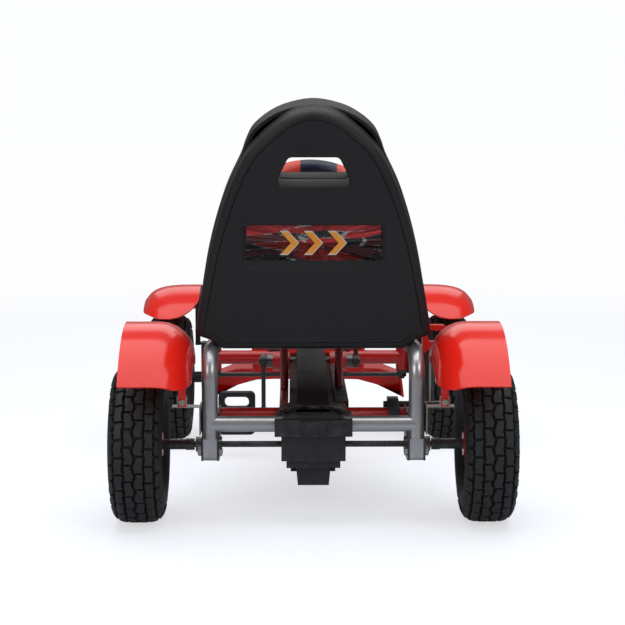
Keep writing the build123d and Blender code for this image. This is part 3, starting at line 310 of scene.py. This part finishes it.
finishes = {
    "red_paint": looks("redPaint", (0.50, 0.008, 0.007), (0.44, 0.007, 0.007), (0.22, 0.32), 260, 0.08, coat=0.4,
                       wearAndHighlight=0.25, wornAndHighlightColour=(0.30, 0.05, 0.04)),
    "black_paint": looks("blackPaint", (0.012, 0.012, 0.013), (0.020, 0.020, 0.021), (0.30, 0.45), 320, 0.12, coat=0.3,
                         wearAndHighlight=0.35, wornAndHighlightColour=(0.16, 0.16, 0.16)),
    "silver_paint": looks("silverPaint", (0.50, 0.50, 0.51), (0.42, 0.42, 0.43), (0.26, 0.38), 500, 0.10, 0.85, 0.2,
                          0.4, (0.20, 0.18, 0.16)),
    "seat_plastic": looks("seatPlastic", (0.010, 0.0105, 0.012), (0.015, 0.0155, 0.017), (0.48, 0.60), 700, 0.45,
                          wearAndHighlight=0.2, wornAndHighlightColour=(0.05, 0.05, 0.055), dust=0.01, shine=0.35),
    "case_plastic": looks("casePlastic", (0.007, 0.007, 0.008), (0.011, 0.011, 0.012), (0.36, 0.48), 600, 0.30,
                          wearAndHighlight=0.3, wornAndHighlightColour=(0.10, 0.10, 0.10)),
    # gloss black: its specular is turned down, and the pale colour on its edges is a painted highlight, not wear
    "gloss_black": looks("glossBlack", (0.004, 0.004, 0.004), (0.007, 0.0065, 0.006), (0.42, 0.52), 200, 0.05,
                         wearAndHighlight=0.6, wornAndHighlightColour=(0.34, 0.32, 0.30), dust=0.01, shine=0.08),
    "red_plastic": looks("redPlastic", (0.90, 0.016, 0.007), (0.84, 0.014, 0.007), (0.16, 0.26), 180, 0.05, coat=0.25,
                         wearAndHighlight=0.1, wornAndHighlightColour=(0.9, 0.12, 0.08), dust=0.01, shine=0.35),
    "zinc_steel": looks("zincSteel", (0.42, 0.42, 0.39), (0.33, 0.32, 0.28), (0.28, 0.45), 450, 0.15, 1.0, 0.0, 0.2),
    "oiled_steel": looks("oiledSteel", (0.10, 0.095, 0.09), (0.05, 0.045, 0.04), (0.25, 0.50), 380, 0.25, 0.9, 0.0, 0.6,
                         (0.45, 0.44, 0.42)),
    "bearing_steel": looks("bearingSteel", (0.16, 0.16, 0.16), (0.10, 0.10, 0.10), (0.22, 0.35), 500, 0.10, 1.0),
    "nylon": looks("nylonBush", (0.70, 0.69, 0.64), (0.62, 0.61, 0.57), (0.40, 0.50), 300, 0.15),
    "rubber": looks("shoeRubber", (0.020, 0.020, 0.020), (0.030, 0.029, 0.028), (0.65, 0.80), 350, 0.4),
    "red_rim": looks("rimPaint", (0.62, 0.020, 0.012), (0.52, 0.016, 0.010), (0.25, 0.38), 260, 0.08, coat=0.5,
                     wearAndHighlight=0.4, wornAndHighlightColour=(0.30, 0.06, 0.05)),
    "cap_plastic": looks("capPlastic", (0.014, 0.014, 0.015), (0.020, 0.020, 0.020), (0.25, 0.38), 300, 0.12),
    "tyre_rubber": looks("tyreRubber", (0.009, 0.009, 0.010), (0.015, 0.015, 0.015), (0.52, 0.68), 420, 0.35,
                         wearAndHighlight=0.5, wornAndHighlightColour=(0.035, 0.034, 0.033), dust=0.03),
}


def gripColour(tree, place):
    # a dark insert across the top of the rim, coral elsewhere
    parts = tree.nodes.new("ShaderNodeSeparateXYZ")
    tree.links.new(place, parts.inputs[0])
    aside = addMath(tree, "ABSOLUTE", addMath(tree, "SUBTRACT", parts.outputs["X"], 0.016))
    near = addRange(tree, aside, 0.033, 0.035, 1, 0)
    high = addRange(tree, parts.outputs["Z"], 0.5, 0.505)
    return addMix(tree, addMath(tree, "MULTIPLY", near, high), (0.62, 0.06, 0.035), (0.010, 0.014, 0.035))


def shardColour(tree, place):
    # black ground broken into red and maroon shards, with thin pale cracks between them
    mapping = tree.nodes.new("ShaderNodeMapping")
    mapping.inputs["Scale"].default_value = (0.36, 1.0, 2.1)
    mapping.inputs["Rotation"].default_value = (0.0, 0.5, 0.0)
    tree.links.new(place, mapping.inputs["Vector"])
    cells = tree.nodes.new("ShaderNodeTexVoronoi")
    cells.inputs["Scale"].default_value = 38.0
    tree.links.new(mapping.outputs[0], cells.inputs["Vector"])
    edges = tree.nodes.new("ShaderNodeTexVoronoi")
    edges.feature = "DISTANCE_TO_EDGE"
    edges.inputs["Scale"].default_value = 38.0
    tree.links.new(mapping.outputs[0], edges.inputs["Vector"])
    parts = tree.nodes.new("ShaderNodeSeparateColor")
    tree.links.new(cells.outputs["Color"], parts.inputs[0])
    colour = addMix(tree, addRange(tree, parts.outputs[0], 0.60, 0.62), (0.006, 0.006, 0.006), (0.55, 0.012, 0.008))
    colour = addMix(tree, addRange(tree, parts.outputs[1], 0.70, 0.72), colour, (0.13, 0.008, 0.008))
    crack = addRange(tree, edges.outputs["Distance"], 0.02, 0.045, 1, 0)
    broken = addRange(tree, addNoise(tree, place, 45.0), 0.50, 0.56)
    return addMix(tree, addMath(tree, "MULTIPLY", crack, broken), colour, (0.55, 0.55, 0.55))


materials = {slot: finishMaterial(look) for slot, look in finishes.items()}
gripLook = looks("gripTwoTone", (0, 0, 0), (0, 0, 0), (0.32, 0.45), 420, 0.3, wearAndHighlight=0.1)
materials["wheel_grip"] = finishMaterial(gripLook, gripColour)
printLook = looks("printedShards", (0, 0, 0), (0, 0, 0), (0.16, 0.24), 200, 0.03, coat=0.6, wearAndHighlight=0.0, dust=0.0)
materials["printed_sheet"] = finishMaterial(printLook, shardColour)
orangeInk = finishMaterial(looks("orangeInk", (0.85, 0.27, 0.02), (0.90, 0.40, 0.04), (0.2, 0.3), 200, 0.03, wearAndHighlight=0.0))
paleInk = finishMaterial(looks("paleInk", (0.75, 0.66, 0.52), (0.70, 0.60, 0.45), (0.2, 0.3), 200, 0.03, wearAndHighlight=0.0))
for node, piece in nodes.items():
    piece.data.materials.clear()
    piece.data.materials.append(materials[slotOf[node]])
print("finishes made")


# tyres

tyreLook = {"pitches": 28, "perPitch": 20, "across": 128, "depth": 5.5}


def treadHeight(turn, reach):
    # 1 on a block and 0 in a groove; turn counts pitches round the tyre, reach is mm from the centre line
    phase = turn + 0.5 * (reach < 0)
    far = np.abs(reach)
    zigzag = 4 * np.abs(phase % 1 - 0.5) - 1

    def clear(distance, half):  # 0 inside a groove of that half width, 1 outside
        return np.clip((np.abs(distance) - half) / 0.9, 0, 1)

    def gap(start, width):  # grooves across, in shares of a pitch
        return np.clip((np.abs((phase - start + 0.5) % 1 - 0.5) * 28 - width) / 0.9, 0, 1)

    height = clear(reach - 2.2 * (4 * np.abs(turn % 1 - 0.5) - 1), 1.1) * clear(far - 16 - 0.9 * zigzag, 0.6)
    height = height * clear(far - 32.5 - 0.7 * zigzag, 0.8)
    inner, middle = far < 16 + 0.9 * zigzag, (far >= 16 + 0.9 * zigzag) & (far < 32.5 + 0.7 * zigzag)
    height = height * np.where(inner, gap(0.15 + 0.002 * far, 1.1), 1.0)
    height = height * np.where(middle, gap(0.62 - 0.002 * far, 1.2), 1.0)
    height = height * np.where(inner | middle, 1.0, gap(0.10, 1.9))
    sawtooth = 45.0 + 7.0 * (phase % 1 < 0.5) * (1 - (phase % 0.5))
    return height * np.clip((sawtooth - far) / 1.2, 0, 1)


def tyreMesh(name, centreX, centreY, centreZ):
    # a bead-to-bead section turned about the axle, pushed in along its own normal where the tread has grooves
    half = [(26, 62), (29.5, 66), (34, 71), (39.5, 79), (42.3, 89), (42.3, 99), (40.4, 109), (36.4, 116.4), (31, 120.8),
            (24, 123.6), (14, 124.8), (0, 125)]
    side = smoothLine(half, tyreLook["across"] // 2)
    section = np.vstack([side * [-1, 1], side[-2::-1]])
    step = np.gradient(section, axis=0)
    normal = np.stack([-step[:, 1], step[:, 0]], -1) / np.linalg.norm(step, axis=1)[:, None]
    length = np.concatenate([[0], np.cumsum(np.linalg.norm(np.diff(section, axis=0), axis=1))])
    reach = length - length[-1] / 2
    rows = tyreLook["pitches"] * tyreLook["perPitch"]
    turn = np.arange(rows) / tyreLook["perPitch"]
    height = treadHeight(turn[:, None], reach[None, :])
    zone = np.clip((62 - np.abs(reach)) / 6, 0, 1)  # the grooves run out into a smooth wall
    ribs = 0.5 * (np.sin(reach * 1.9) > 0.4) * (np.abs(reach) > 66) * (np.abs(reach) < 82)
    flatWall = np.clip((np.abs(reach) - 52) / 4, 0, 1) * 0.2
    shallow = 1 - 0.45 * np.clip((np.abs(reach) - 44) / 10, 0, 1)  # and are not as deep at the shoulder
    push = -tyreLook["depth"] * (1 - height) * zone * shallow - ribs - flatWall
    x = section[:, 0] + normal[:, 0] * push
    radius = section[:, 1] + normal[:, 1] * push
    closing = np.array([[26, 57.0], [-26, 57.0]])
    x = np.hstack([x, np.tile(closing[:, 0], (rows, 1))])
    radius = np.hstack([radius, np.tile(closing[:, 1], (rows, 1))])
    angle = (2 * np.pi * turn / tyreLook["pitches"])[:, None]
    y, z = centreY + radius * mm * np.sin(angle), centreZ + radius * mm * np.cos(angle)
    points = np.stack([centreX + x * mm, y, z], -1)
    return gridMesh(name, points, wrapRows=True, wrapColumns=True, flip=True)


for corner in ("rear_left", "rear_right", "front_left", "front_right"):
    low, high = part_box("rim_" + corner)
    middle = (low + high) / 2
    mesh = tyreMesh("treadedTyre_" + corner, middle.x, middle.y, middle.z)
    addPiece("treadedTyre_" + corner, mesh, bodyOf["tyre_" + corner], materials["tyre_rubber"], ["tyre_" + corner],
             28)
print("tyres made")


# seat

seatLook = {"recline": math.radians(15), "footY": -25.0, "footZ": 275.0, "rearDepth": 45.0, "frontDepth": 60.0,
            "rearRoll": 11.0, "frontRoll": 26.0, "columns": 288, "slotLip": 3.0}
backEdge = [(0, 394), (34, 385.5), (61, 367), (85, 345), (105, 321), (123, 285), (137, 250), (151, 206), (163, 160),
            (176, 95), (187, 32)]
backFoot = [(187, 32), (183, 27), (161, 19), (144, 4.5), (100, 4.5), (0, 4.5)]
slotCorners = [(-61, 275.5), (61, 275.5), (38.5, 321.5), (-38.5, 321.5)]
headEdge = [(0, 393.5), (41, 386), (70, 372), (94, 351), (106, 327), (113, 307), (139, 248), (165, 156), (186, 32)]


def onBack(x, v, n):
    # x across, v up the back and n forward of its rear face, in mm, to places in the kart
    s, c = math.sin(seatLook["recline"]), math.cos(seatLook["recline"])
    y = rearAxle.y / mm + seatLook["footY"] + n * c - v * s
    return np.stack(np.broadcast_arrays(x, y, seatLook["footZ"] + n * s + v * c), -1) * mm


def closedOutline(edge, foot):
    # right half from the top down, level where the halves meet, then the left half back up
    edge = np.array(edge, float)
    line = smoothLine(np.vstack([edge[2:0:-1] * [-1, 1], edge]), 600)
    side = evenSteps(np.vstack([edge[:1], line[line[:, 0] > 0.2]]), 160)
    right = np.vstack([side, evenSteps(np.array(foot, float), 90)[1:]])
    return np.vstack([right, (right * [-1, 1])[-2:0:-1]])


def movedIn(outline, margin):
    # every point goes inwards along the outline's own normal
    step = np.roll(outline, -1, 0) - np.roll(outline, 1, 0)
    step = step / np.maximum(np.linalg.norm(step, axis=1), 1e-9)[:, None]
    return outline + margin * np.stack([step[:, 1], -step[:, 0]], -1)


def ringAt(outline, centre, angles):
    # where rays from the centre cross the outline
    offset = outline - centre
    bearing = np.unwrap(np.arctan2(offset[:, 0], offset[:, 1]))
    radius = np.linalg.norm(offset, axis=1)
    order = np.argsort(bearing)
    reach = np.interp(angles, bearing[order], radius[order], period=2 * np.pi)
    return centre + np.stack([np.sin(angles), np.cos(angles)], -1) * reach[:, None]


def rectangle(x, low, high):
    corners = np.array([(0, high), (x, high), (x, low), (-x, low), (-x, high), (0, high)], float)
    return evenSteps(corners, 1201)[:-1]


def rings(outlines, centre, angles):
    # a loop for each (outline, depth), and a last loop drawn to the centre
    loops = [onBack(*ringAt(outline, centre, angles).T, depth) for outline, depth in outlines]
    loops.append(onBack(np.full(len(angles), centre[0]), np.full(len(angles), centre[1]), outlines[-1][1]))
    return np.stack(loops)


def cutSlot(piece, grow):
    # the handle slot, a rounded trapezium carried right through the back
    loop = roundedLoop(slotCorners, 9, grow)
    points = np.stack([onBack(loop[:, 0], loop[:, 1], n) for n in (-60, 260)])
    mesh = gridMesh("slotTool", points, wrapColumns=True)
    shape = bmesh.new()
    shape.from_mesh(mesh)
    bmesh.ops.holes_fill(shape, edges=shape.edges)
    bmesh.ops.recalc_face_normals(shape, faces=shape.faces)
    shape.to_mesh(mesh)
    shape.free()
    tool = bpy.data.objects.new("slotTool", mesh)
    bpy.context.scene.collection.objects.link(tool)
    boolean = piece.modifiers.new("slot", "BOOLEAN")
    boolean.object = tool
    boolean.solver = "EXACT"
    keepShape(piece)
    bpy.data.objects.remove(tool)


def keepShape(piece):
    # what the modifiers make becomes the mesh
    bpy.context.view_layer.update()
    made = bpy.data.meshes.new_from_object(piece.evaluated_get(bpy.context.evaluated_depsgraph_get()))
    piece.modifiers.clear()
    old = piece.data
    piece.data = made
    bpy.data.meshes.remove(old)
    made.shade_smooth()
    made.set_sharp_from_angle(angle=math.radians(35))


def roundedLoop(corners, radius, grow=0.0, steps=8):
    # arcs round the corners of a convex polygon, moved out by grow
    corners = np.array(corners, float)
    loop = []
    for before, here, after in zip(np.roll(corners, 1, 0), corners, np.roll(corners, -1, 0)):
        back, ahead = before - here, after - here
        back, ahead = back / np.linalg.norm(back), ahead / np.linalg.norm(ahead)
        half = math.acos(np.clip(back @ ahead, -1, 1)) / 2
        middle = (back + ahead) / np.linalg.norm(back + ahead)
        centre = here + middle * radius / math.sin(half)
        start = math.atan2(*(here + back * radius / math.tan(half) - centre)[::-1])
        end = math.atan2(*(here + ahead * radius / math.tan(half) - centre)[::-1])
        sweep = (end - start + math.pi) % (2 * math.pi) - math.pi
        angle = start + sweep * np.linspace(0, 1, steps)
        loop.append(centre + (radius + grow) * np.stack([np.cos(angle), np.sin(angle)], -1))
    return np.vstack(loop)


def slotLiner(name, start, end, lip, body, replaced=()):
    # the wall of the slot, with a rounded lip at each end
    turn = np.linspace(0, np.pi / 2, 6)
    section = [(lip * (1 - math.sin(a)), start + lip * (1 - math.cos(a))) for a in turn]
    section += [(lip * (1 - math.cos(a)), end - lip * (1 - math.sin(a))) for a in turn]
    points = np.stack([onBack(*roundedLoop(slotCorners, 9, grow).T, n) for grow, n in section])
    mesh = gridMesh(name, points, wrapColumns=True)
    piece = addPiece(name, mesh, body, materials["seat_plastic"], replaced)
    thicken(piece, 2.5 * mm, 1)
    return piece


def rearShell():
    # rings from the front edge of the side wall, round the rolled rim, over a faintly crowned face to the recess
    outline = closedOutline(backEdge, backFoot)
    centre = np.array([0.0, 183.0])
    recess = ((111, 215), (111, 142), (105.5, 212.3), (105.5, 154.6))
    extra = [math.atan2(side * x, v - centre[1]) for side in (-1, 1) for x, v in recess]
    angles = np.sort(np.concatenate([np.linspace(-np.pi, np.pi, seatLook["columns"], endpoint=False), extra]))
    roll, depth = seatLook["rearRoll"], seatLook["rearDepth"]
    layers = [(outline, depth), (outline, depth - 8), (movedIn(outline, 0.4), depth - 8.8), (movedIn(outline, 0.4), 28)]
    for angle in np.linspace(0, np.pi / 2, 8):
        layers.append((movedIn(outline, 0.4 + roll * (1 - math.cos(angle))), 0.6 + roll * (1 - math.sin(angle))))
    layers += [(movedIn(outline, roll + margin), sunk) for margin, sunk in ((1.6, 0.5), (2.6, 1.7), (3.6, 0.45))]
    face = movedIn(outline, roll + 14)
    outer, inner = rectangle(111, 142, 215), rectangle(105.5, 154.6, 212.3)
    rim = ringAt(face, centre, angles)
    hole = ringAt(outer, centre, angles)
    for share in np.linspace(0, 1, 9)[:-1]:
        layers.append((rim + (hole - rim) * share, 0.45 * math.cos(share * math.pi / 2)))
    layers += [(rectangle(112.2, 140.8, 216.2), 0.0), (rectangle(111.3, 141.7, 215.3), 0.4)]
    layers += [(inner, 5.4), (inner * [0.98, 1], 5.4)]
    mesh = gridMesh("seatRearShell", rings(layers, centre, angles), wrapColumns=True)
    tidyNormals(mesh)
    piece = addPiece("seatRearShell", mesh, "root", materials["seat_plastic"], ["seat_back_shell"])
    thicken(piece, 3.2 * mm)
    keepShape(piece)
    cutSlot(piece, seatLook["slotLip"])
    slotLiner("seatSlotRear", 0.0, 44.6, seatLook["slotLip"], "root")
    return piece


def frontShell():
    # rings from the parting line round the fat bolster and down into the hollow that the driver leans in
    outline = closedOutline(headEdge, [(186, 32), (182, 27), (161, 19), (144, 4.5), (100, 4.5), (0, 4.5)])
    centre = np.array([0.0, 200.0])
    angles = np.linspace(-np.pi, np.pi, seatLook["columns"], endpoint=False)
    near = seatLook["rearDepth"] + 0.3
    far, roll = near + seatLook["frontDepth"] - 0.5, seatLook["frontRoll"]
    layers = [(movedIn(outline, 6), near), (movedIn(outline, 1.5), near), (movedIn(outline, 0.3), near + 1.5)]
    for angle in np.linspace(0, np.pi / 2, 10):
        margin = 0.3 + 0.75 * roll * (1 - math.cos(angle))
        layers.append((movedIn(outline, margin), far - roll * (1 - math.sin(angle))))
    for share in np.linspace(0, 1, 10)[1:]:
        layers.append((movedIn(outline, 20 + 26 * share), far - 25 * (1 - math.cos(math.pi * share)) / 2))
    for share in (0.35, 0.7):
        ring = ringAt(movedIn(outline, 46), centre, angles)
        layers.append((ring + (centre - ring) * share, far - 25 - 2 * share))
    mesh = gridMesh("seatFrontShell", rings(layers, centre, angles), wrapColumns=True)
    tidyNormals(mesh)
    piece = addPiece("seatFrontShell", mesh, "root", materials["seat_plastic"], ["seat_front_shell"])
    thicken(piece, 3.2 * mm)
    keepShape(piece)
    cutSlot(piece, seatLook["slotLip"])
    slotLiner("seatSlotFront", near, far - 25, seatLook["slotLip"], "root")
    return piece


def seatPan():
    # a bucket section carried forward from the back: bolsters at the sides, a dished seat, and a rolled front lip
    low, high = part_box("seat_front_shell")
    bottom, front = max(low.z / mm, 293.0), high.y / mm
    half = 168.0
    right = [(0, 305), (60, 305.6), (100, 308), (122, 315), (134, 329), (145, 337.5), (155, 339.6), (163, 336), (167.4, 327),
             (168, 315), (167.4, 300), (165, 293.5), (150, 293.2), (0, 293.2)]
    line = smoothLine(right, 90)
    back = rearAxle.y / mm + 60
    lip = 26.0
    rounding = front - lip + lip * np.sin(np.linspace(0, np.pi / 2, 12))[1:]
    stations = np.concatenate([np.linspace(back, front - lip, 24), rounding])
    past = np.clip((stations - (front - lip)) / lip, 0, 1)
    ease = np.sqrt(np.clip(1 - past**2, 0, 1))
    fullLine = np.vstack([line, (line * [-1, 1])[-2:0:-1]])
    x = fullLine[None, :, 0] * (1 - (1 - ease[:, None]) * 18 / half)
    z = bottom + 3 + (fullLine[None, :, 1] - bottom - 3) * (0.15 + 0.85 * ease[:, None])
    y = np.broadcast_to(stations[:, None], x.shape)
    points = np.stack([x, y, z], -1)
    cap = points[-1:].copy()
    cap[..., 2] = bottom + 4
    cap[..., 0] *= 0.97
    points = np.concatenate([points, cap], 0)
    mesh = gridMesh("seatPan", points * mm, wrapColumns=True)
    shape = bmesh.new()
    shape.from_mesh(mesh)
    bmesh.ops.holes_fill(shape, edges=[edge for edge in shape.edges if edge.is_boundary])
    shape.to_mesh(mesh)
    shape.free()
    tidyNormals(mesh)
    return addPiece("seatPan", mesh, "root", materials["seat_plastic"], ["seat_front_shell"])


rearShell()
frontShell()
seatPan()
print("seat made")


def chevrons():
    # three generic arrowheads on the printed sheet, each with a pale border
    count, width, height, thick = 3, 26.0, 21.0, 11.0
    for layer, (ink, grow, lift) in enumerate(((paleInk, 1.6, 5.15), (orangeInk, 0.0, 4.95))):
        for number in range(count):
            middle = (number - 1) * 37.0
            left, right = -width / 2, width / 2
            corners = [(left, height), (left + thick, height), (right, 0), (left + thick, -height), (left, -height),
                       (right - thick, 0)]
            shape = np.array(corners, float) * [1, 0.82]
            scale = 1 + grow / 11
            loop = shape * scale + [middle, 183.5]
            points = np.stack([onBack(loop[:, 0], loop[:, 1], n) for n in (lift, lift + 0.25)])
            mesh = gridMesh(f"chevron_{layer}_{number}", points, wrapColumns=True)
            edit = bmesh.new()
            edit.from_mesh(mesh)
            bmesh.ops.holes_fill(edit, edges=[edge for edge in edit.edges if edge.is_boundary])
            edit.to_mesh(mesh)
            edit.free()
            tidyNormals(mesh)
            addPiece(f"chevron_{layer}_{number}", mesh, "root", ink)


chevrons()
print("print made")


# front fenders

frontFender = {"inner": 215.0, "outer": 325.0, "top": 186.0, "start": -48.0, "end": 44.0, "outerCorner": 52.0,
               "innerCorner": 55.0, "wall": 3.0, "bow": [(0, 0), (50, 1), (80, 6), (98, 15), (110, 29)]}


def frontFenderMesh(name, side):
    # a blade bowed down towards its outer edge, its width cut by the arcs at the outer corners and the inner rear one
    f = frontFender
    turn = np.radians(np.linspace(f["start"], f["end"], 84))[:, None]
    behind = f["top"] * (np.sin(np.radians(f["end"])) - np.sin(turn))
    ahead = f["top"] * (np.sin(turn) - np.sin(np.radians(f["start"])))

    def arc(distance, radius):  # how far a corner of that radius cuts in, at a distance from the blade's end
        return radius - np.sqrt(radius**2 - np.clip(radius - distance, 0, radius) ** 2)

    low = f["inner"] + arc(behind, f["innerCorner"])
    high = f["outer"] - np.maximum(arc(behind, f["outerCorner"]), arc(ahead, f["outerCorner"]))
    x = low + (high - low) * np.linspace(0, 1, 36)[None, :]
    bow = smoothLine(f["bow"], 80)
    radius = f["top"] - np.interp(x - f["inner"], bow[:, 0], bow[:, 1])
    y = frontHub.y / mm - radius * np.sin(turn)
    z = frontHub.z / mm + radius * np.cos(turn)
    return gridMesh(name, np.stack([side * x, y, z], -1) * mm, flip=side < 0)


for label, side in (("left", -1), ("right", 1)):
    name, node = "frontBlade_" + label, "front_fender_" + label
    mesh = frontFenderMesh(name, side)
    piece = addPiece(name, mesh, bodyOf[node], materials["red_plastic"], [node], 50)
    thicken(piece, frontFender["wall"] * mm)
    roundEdges(piece, 1.2 * mm, 3)
print("front fenders made")


# CAD pieces with their edges rounded

softEdges = {"rear_case_lid": 3.0, "rear_case_tub": 5.0, "chain_guard": 1.2, "chain_guard_lower": 0.8, "nose_panel": 1.2,
             "main_frame": 1.0, "axle_brackets": 0.6, "pedal_left": 1.5, "pedal_right": 1.5, "crank_arm_left": 1.0,
             "crank_arm_right": 1.0, "brake_grip": 1.5, "fender_stays": 0.4, "steering_wheel": 1.0, "nose_bracket": 1.0,
             "frame_bolts": 0.5, "seat_bolts": 0.5, "fender_bolts": 0.5, "knuckle_left": 0.8, "knuckle_right": 0.8,
             "brake_mount": 0.8, "front_axle_beam": 0.8, "axle_bearings": 0.4, "brake_shoes": 0.6, "rear_fender_left": 1.2,
             "rear_fender_right": 1.2}


def softened(node, width):
    # a merged copy of the CAD piece, its flat faces joined, with a small round along every sharp edge
    mesh = nodes[node].data.copy()
    shape = bmesh.new()
    shape.from_mesh(mesh)
    bmesh.ops.remove_doubles(shape, verts=shape.verts, dist=2e-6)
    bmesh.ops.dissolve_limit(shape, angle_limit=math.radians(0.8), verts=shape.verts, edges=shape.edges)
    shape.to_mesh(mesh)
    shape.free()
    mesh.name = "soft_" + node
    piece = addPiece("soft_" + node, mesh, bodyOf[node], materials[slotOf[node]], [node], 32)
    roundEdges(piece, width * mm, 2, 38)
    return piece


for node, width in softEdges.items():
    softened(node, width)
print("edges rounded")


# floor and light

floorMaterial, tree, shader, place = startMaterial("studioFloor")
tree.links.new(addRange(tree, addNoise(tree, place, 3.0), 0.3, 0.7, 0.60, 0.70), shader.inputs["Roughness"])
# the floor takes shadows near the kart and runs out into the even white round it
reach = tree.nodes.new("ShaderNodeVectorMath")
reach.operation = "LENGTH"
tree.links.new(place, reach.inputs[0])
away = addRange(tree, reach.outputs["Value"], 0.9, 3.4)
tree.links.new(addMix(tree, away, (0.46, 0.49, 0.56), (0.0, 0.0, 0.0)), shader.inputs["Base Color"])
shader.inputs["Emission Color"].default_value = (0.985, 0.99, 1.0, 1)
shader.inputs["Specular IOR Level"].default_value = 0.0
seen = tree.nodes.new("ShaderNodeLightPath").outputs["Is Camera Ray"]
glow = addRange(tree, away, 0, 1, 0.62, 1.0)
strength = addMath(tree, "MULTIPLY", glow, addRange(tree, seen, 0, 1, 0.18, 1.0))
tree.links.new(strength, shader.inputs["Emission Strength"])
across = np.linspace(-30, 30, 3)
points = np.stack([*np.meshgrid(across, across, indexing="ij"), np.zeros((3, 3))], -1)
floorMesh = gridMesh("floor", points)
floor = bpy.data.objects.new("floor", floorMesh)
floorMesh.materials.append(floorMaterial)
bpy.context.scene.collection.objects.link(floor)

lamps = [("overhead", (0.0, -0.3, 2.6), (3.0, 3.0), 58), ("behindLeft", (-2.0, -2.7, 1.5), (1.3, 1.1), 17),
         ("behindRight", (2.0, -2.7, 1.8), (1.3, 1.1), 19), ("ahead", (0.0, 3.2, 2.2), (3.0, 1.6), 16)]
for name, location, size, power in lamps:
    lamp = bpy.data.lights.new(name, "AREA")
    lamp.shape = "RECTANGLE"
    lamp.size, lamp.size_y = size
    lamp.energy = power
    holder = bpy.data.objects.new(name, lamp)
    holder.location = location
    holder.rotation_euler = (Vector((0, 0, 0.25)) - Vector(location)).to_track_quat("-Z", "Y").to_euler()
    bpy.context.scene.collection.objects.link(holder)
world = bpy.data.worlds.new("studio")
world.use_nodes = True
tree = world.node_tree
rays = tree.nodes.new("ShaderNodeLightPath")
strength = addRange(tree, rays.outputs["Is Camera Ray"], 0, 1, 0.20, 1.0)
tree.links.new(strength, tree.nodes["Background"].inputs["Strength"])
tree.nodes["Background"].inputs["Color"].default_value = (0.98, 0.99, 1.0, 1)
bpy.context.scene.world = world
bpy.context.scene.view_settings.view_transform = "Standard"
print("studio lit")
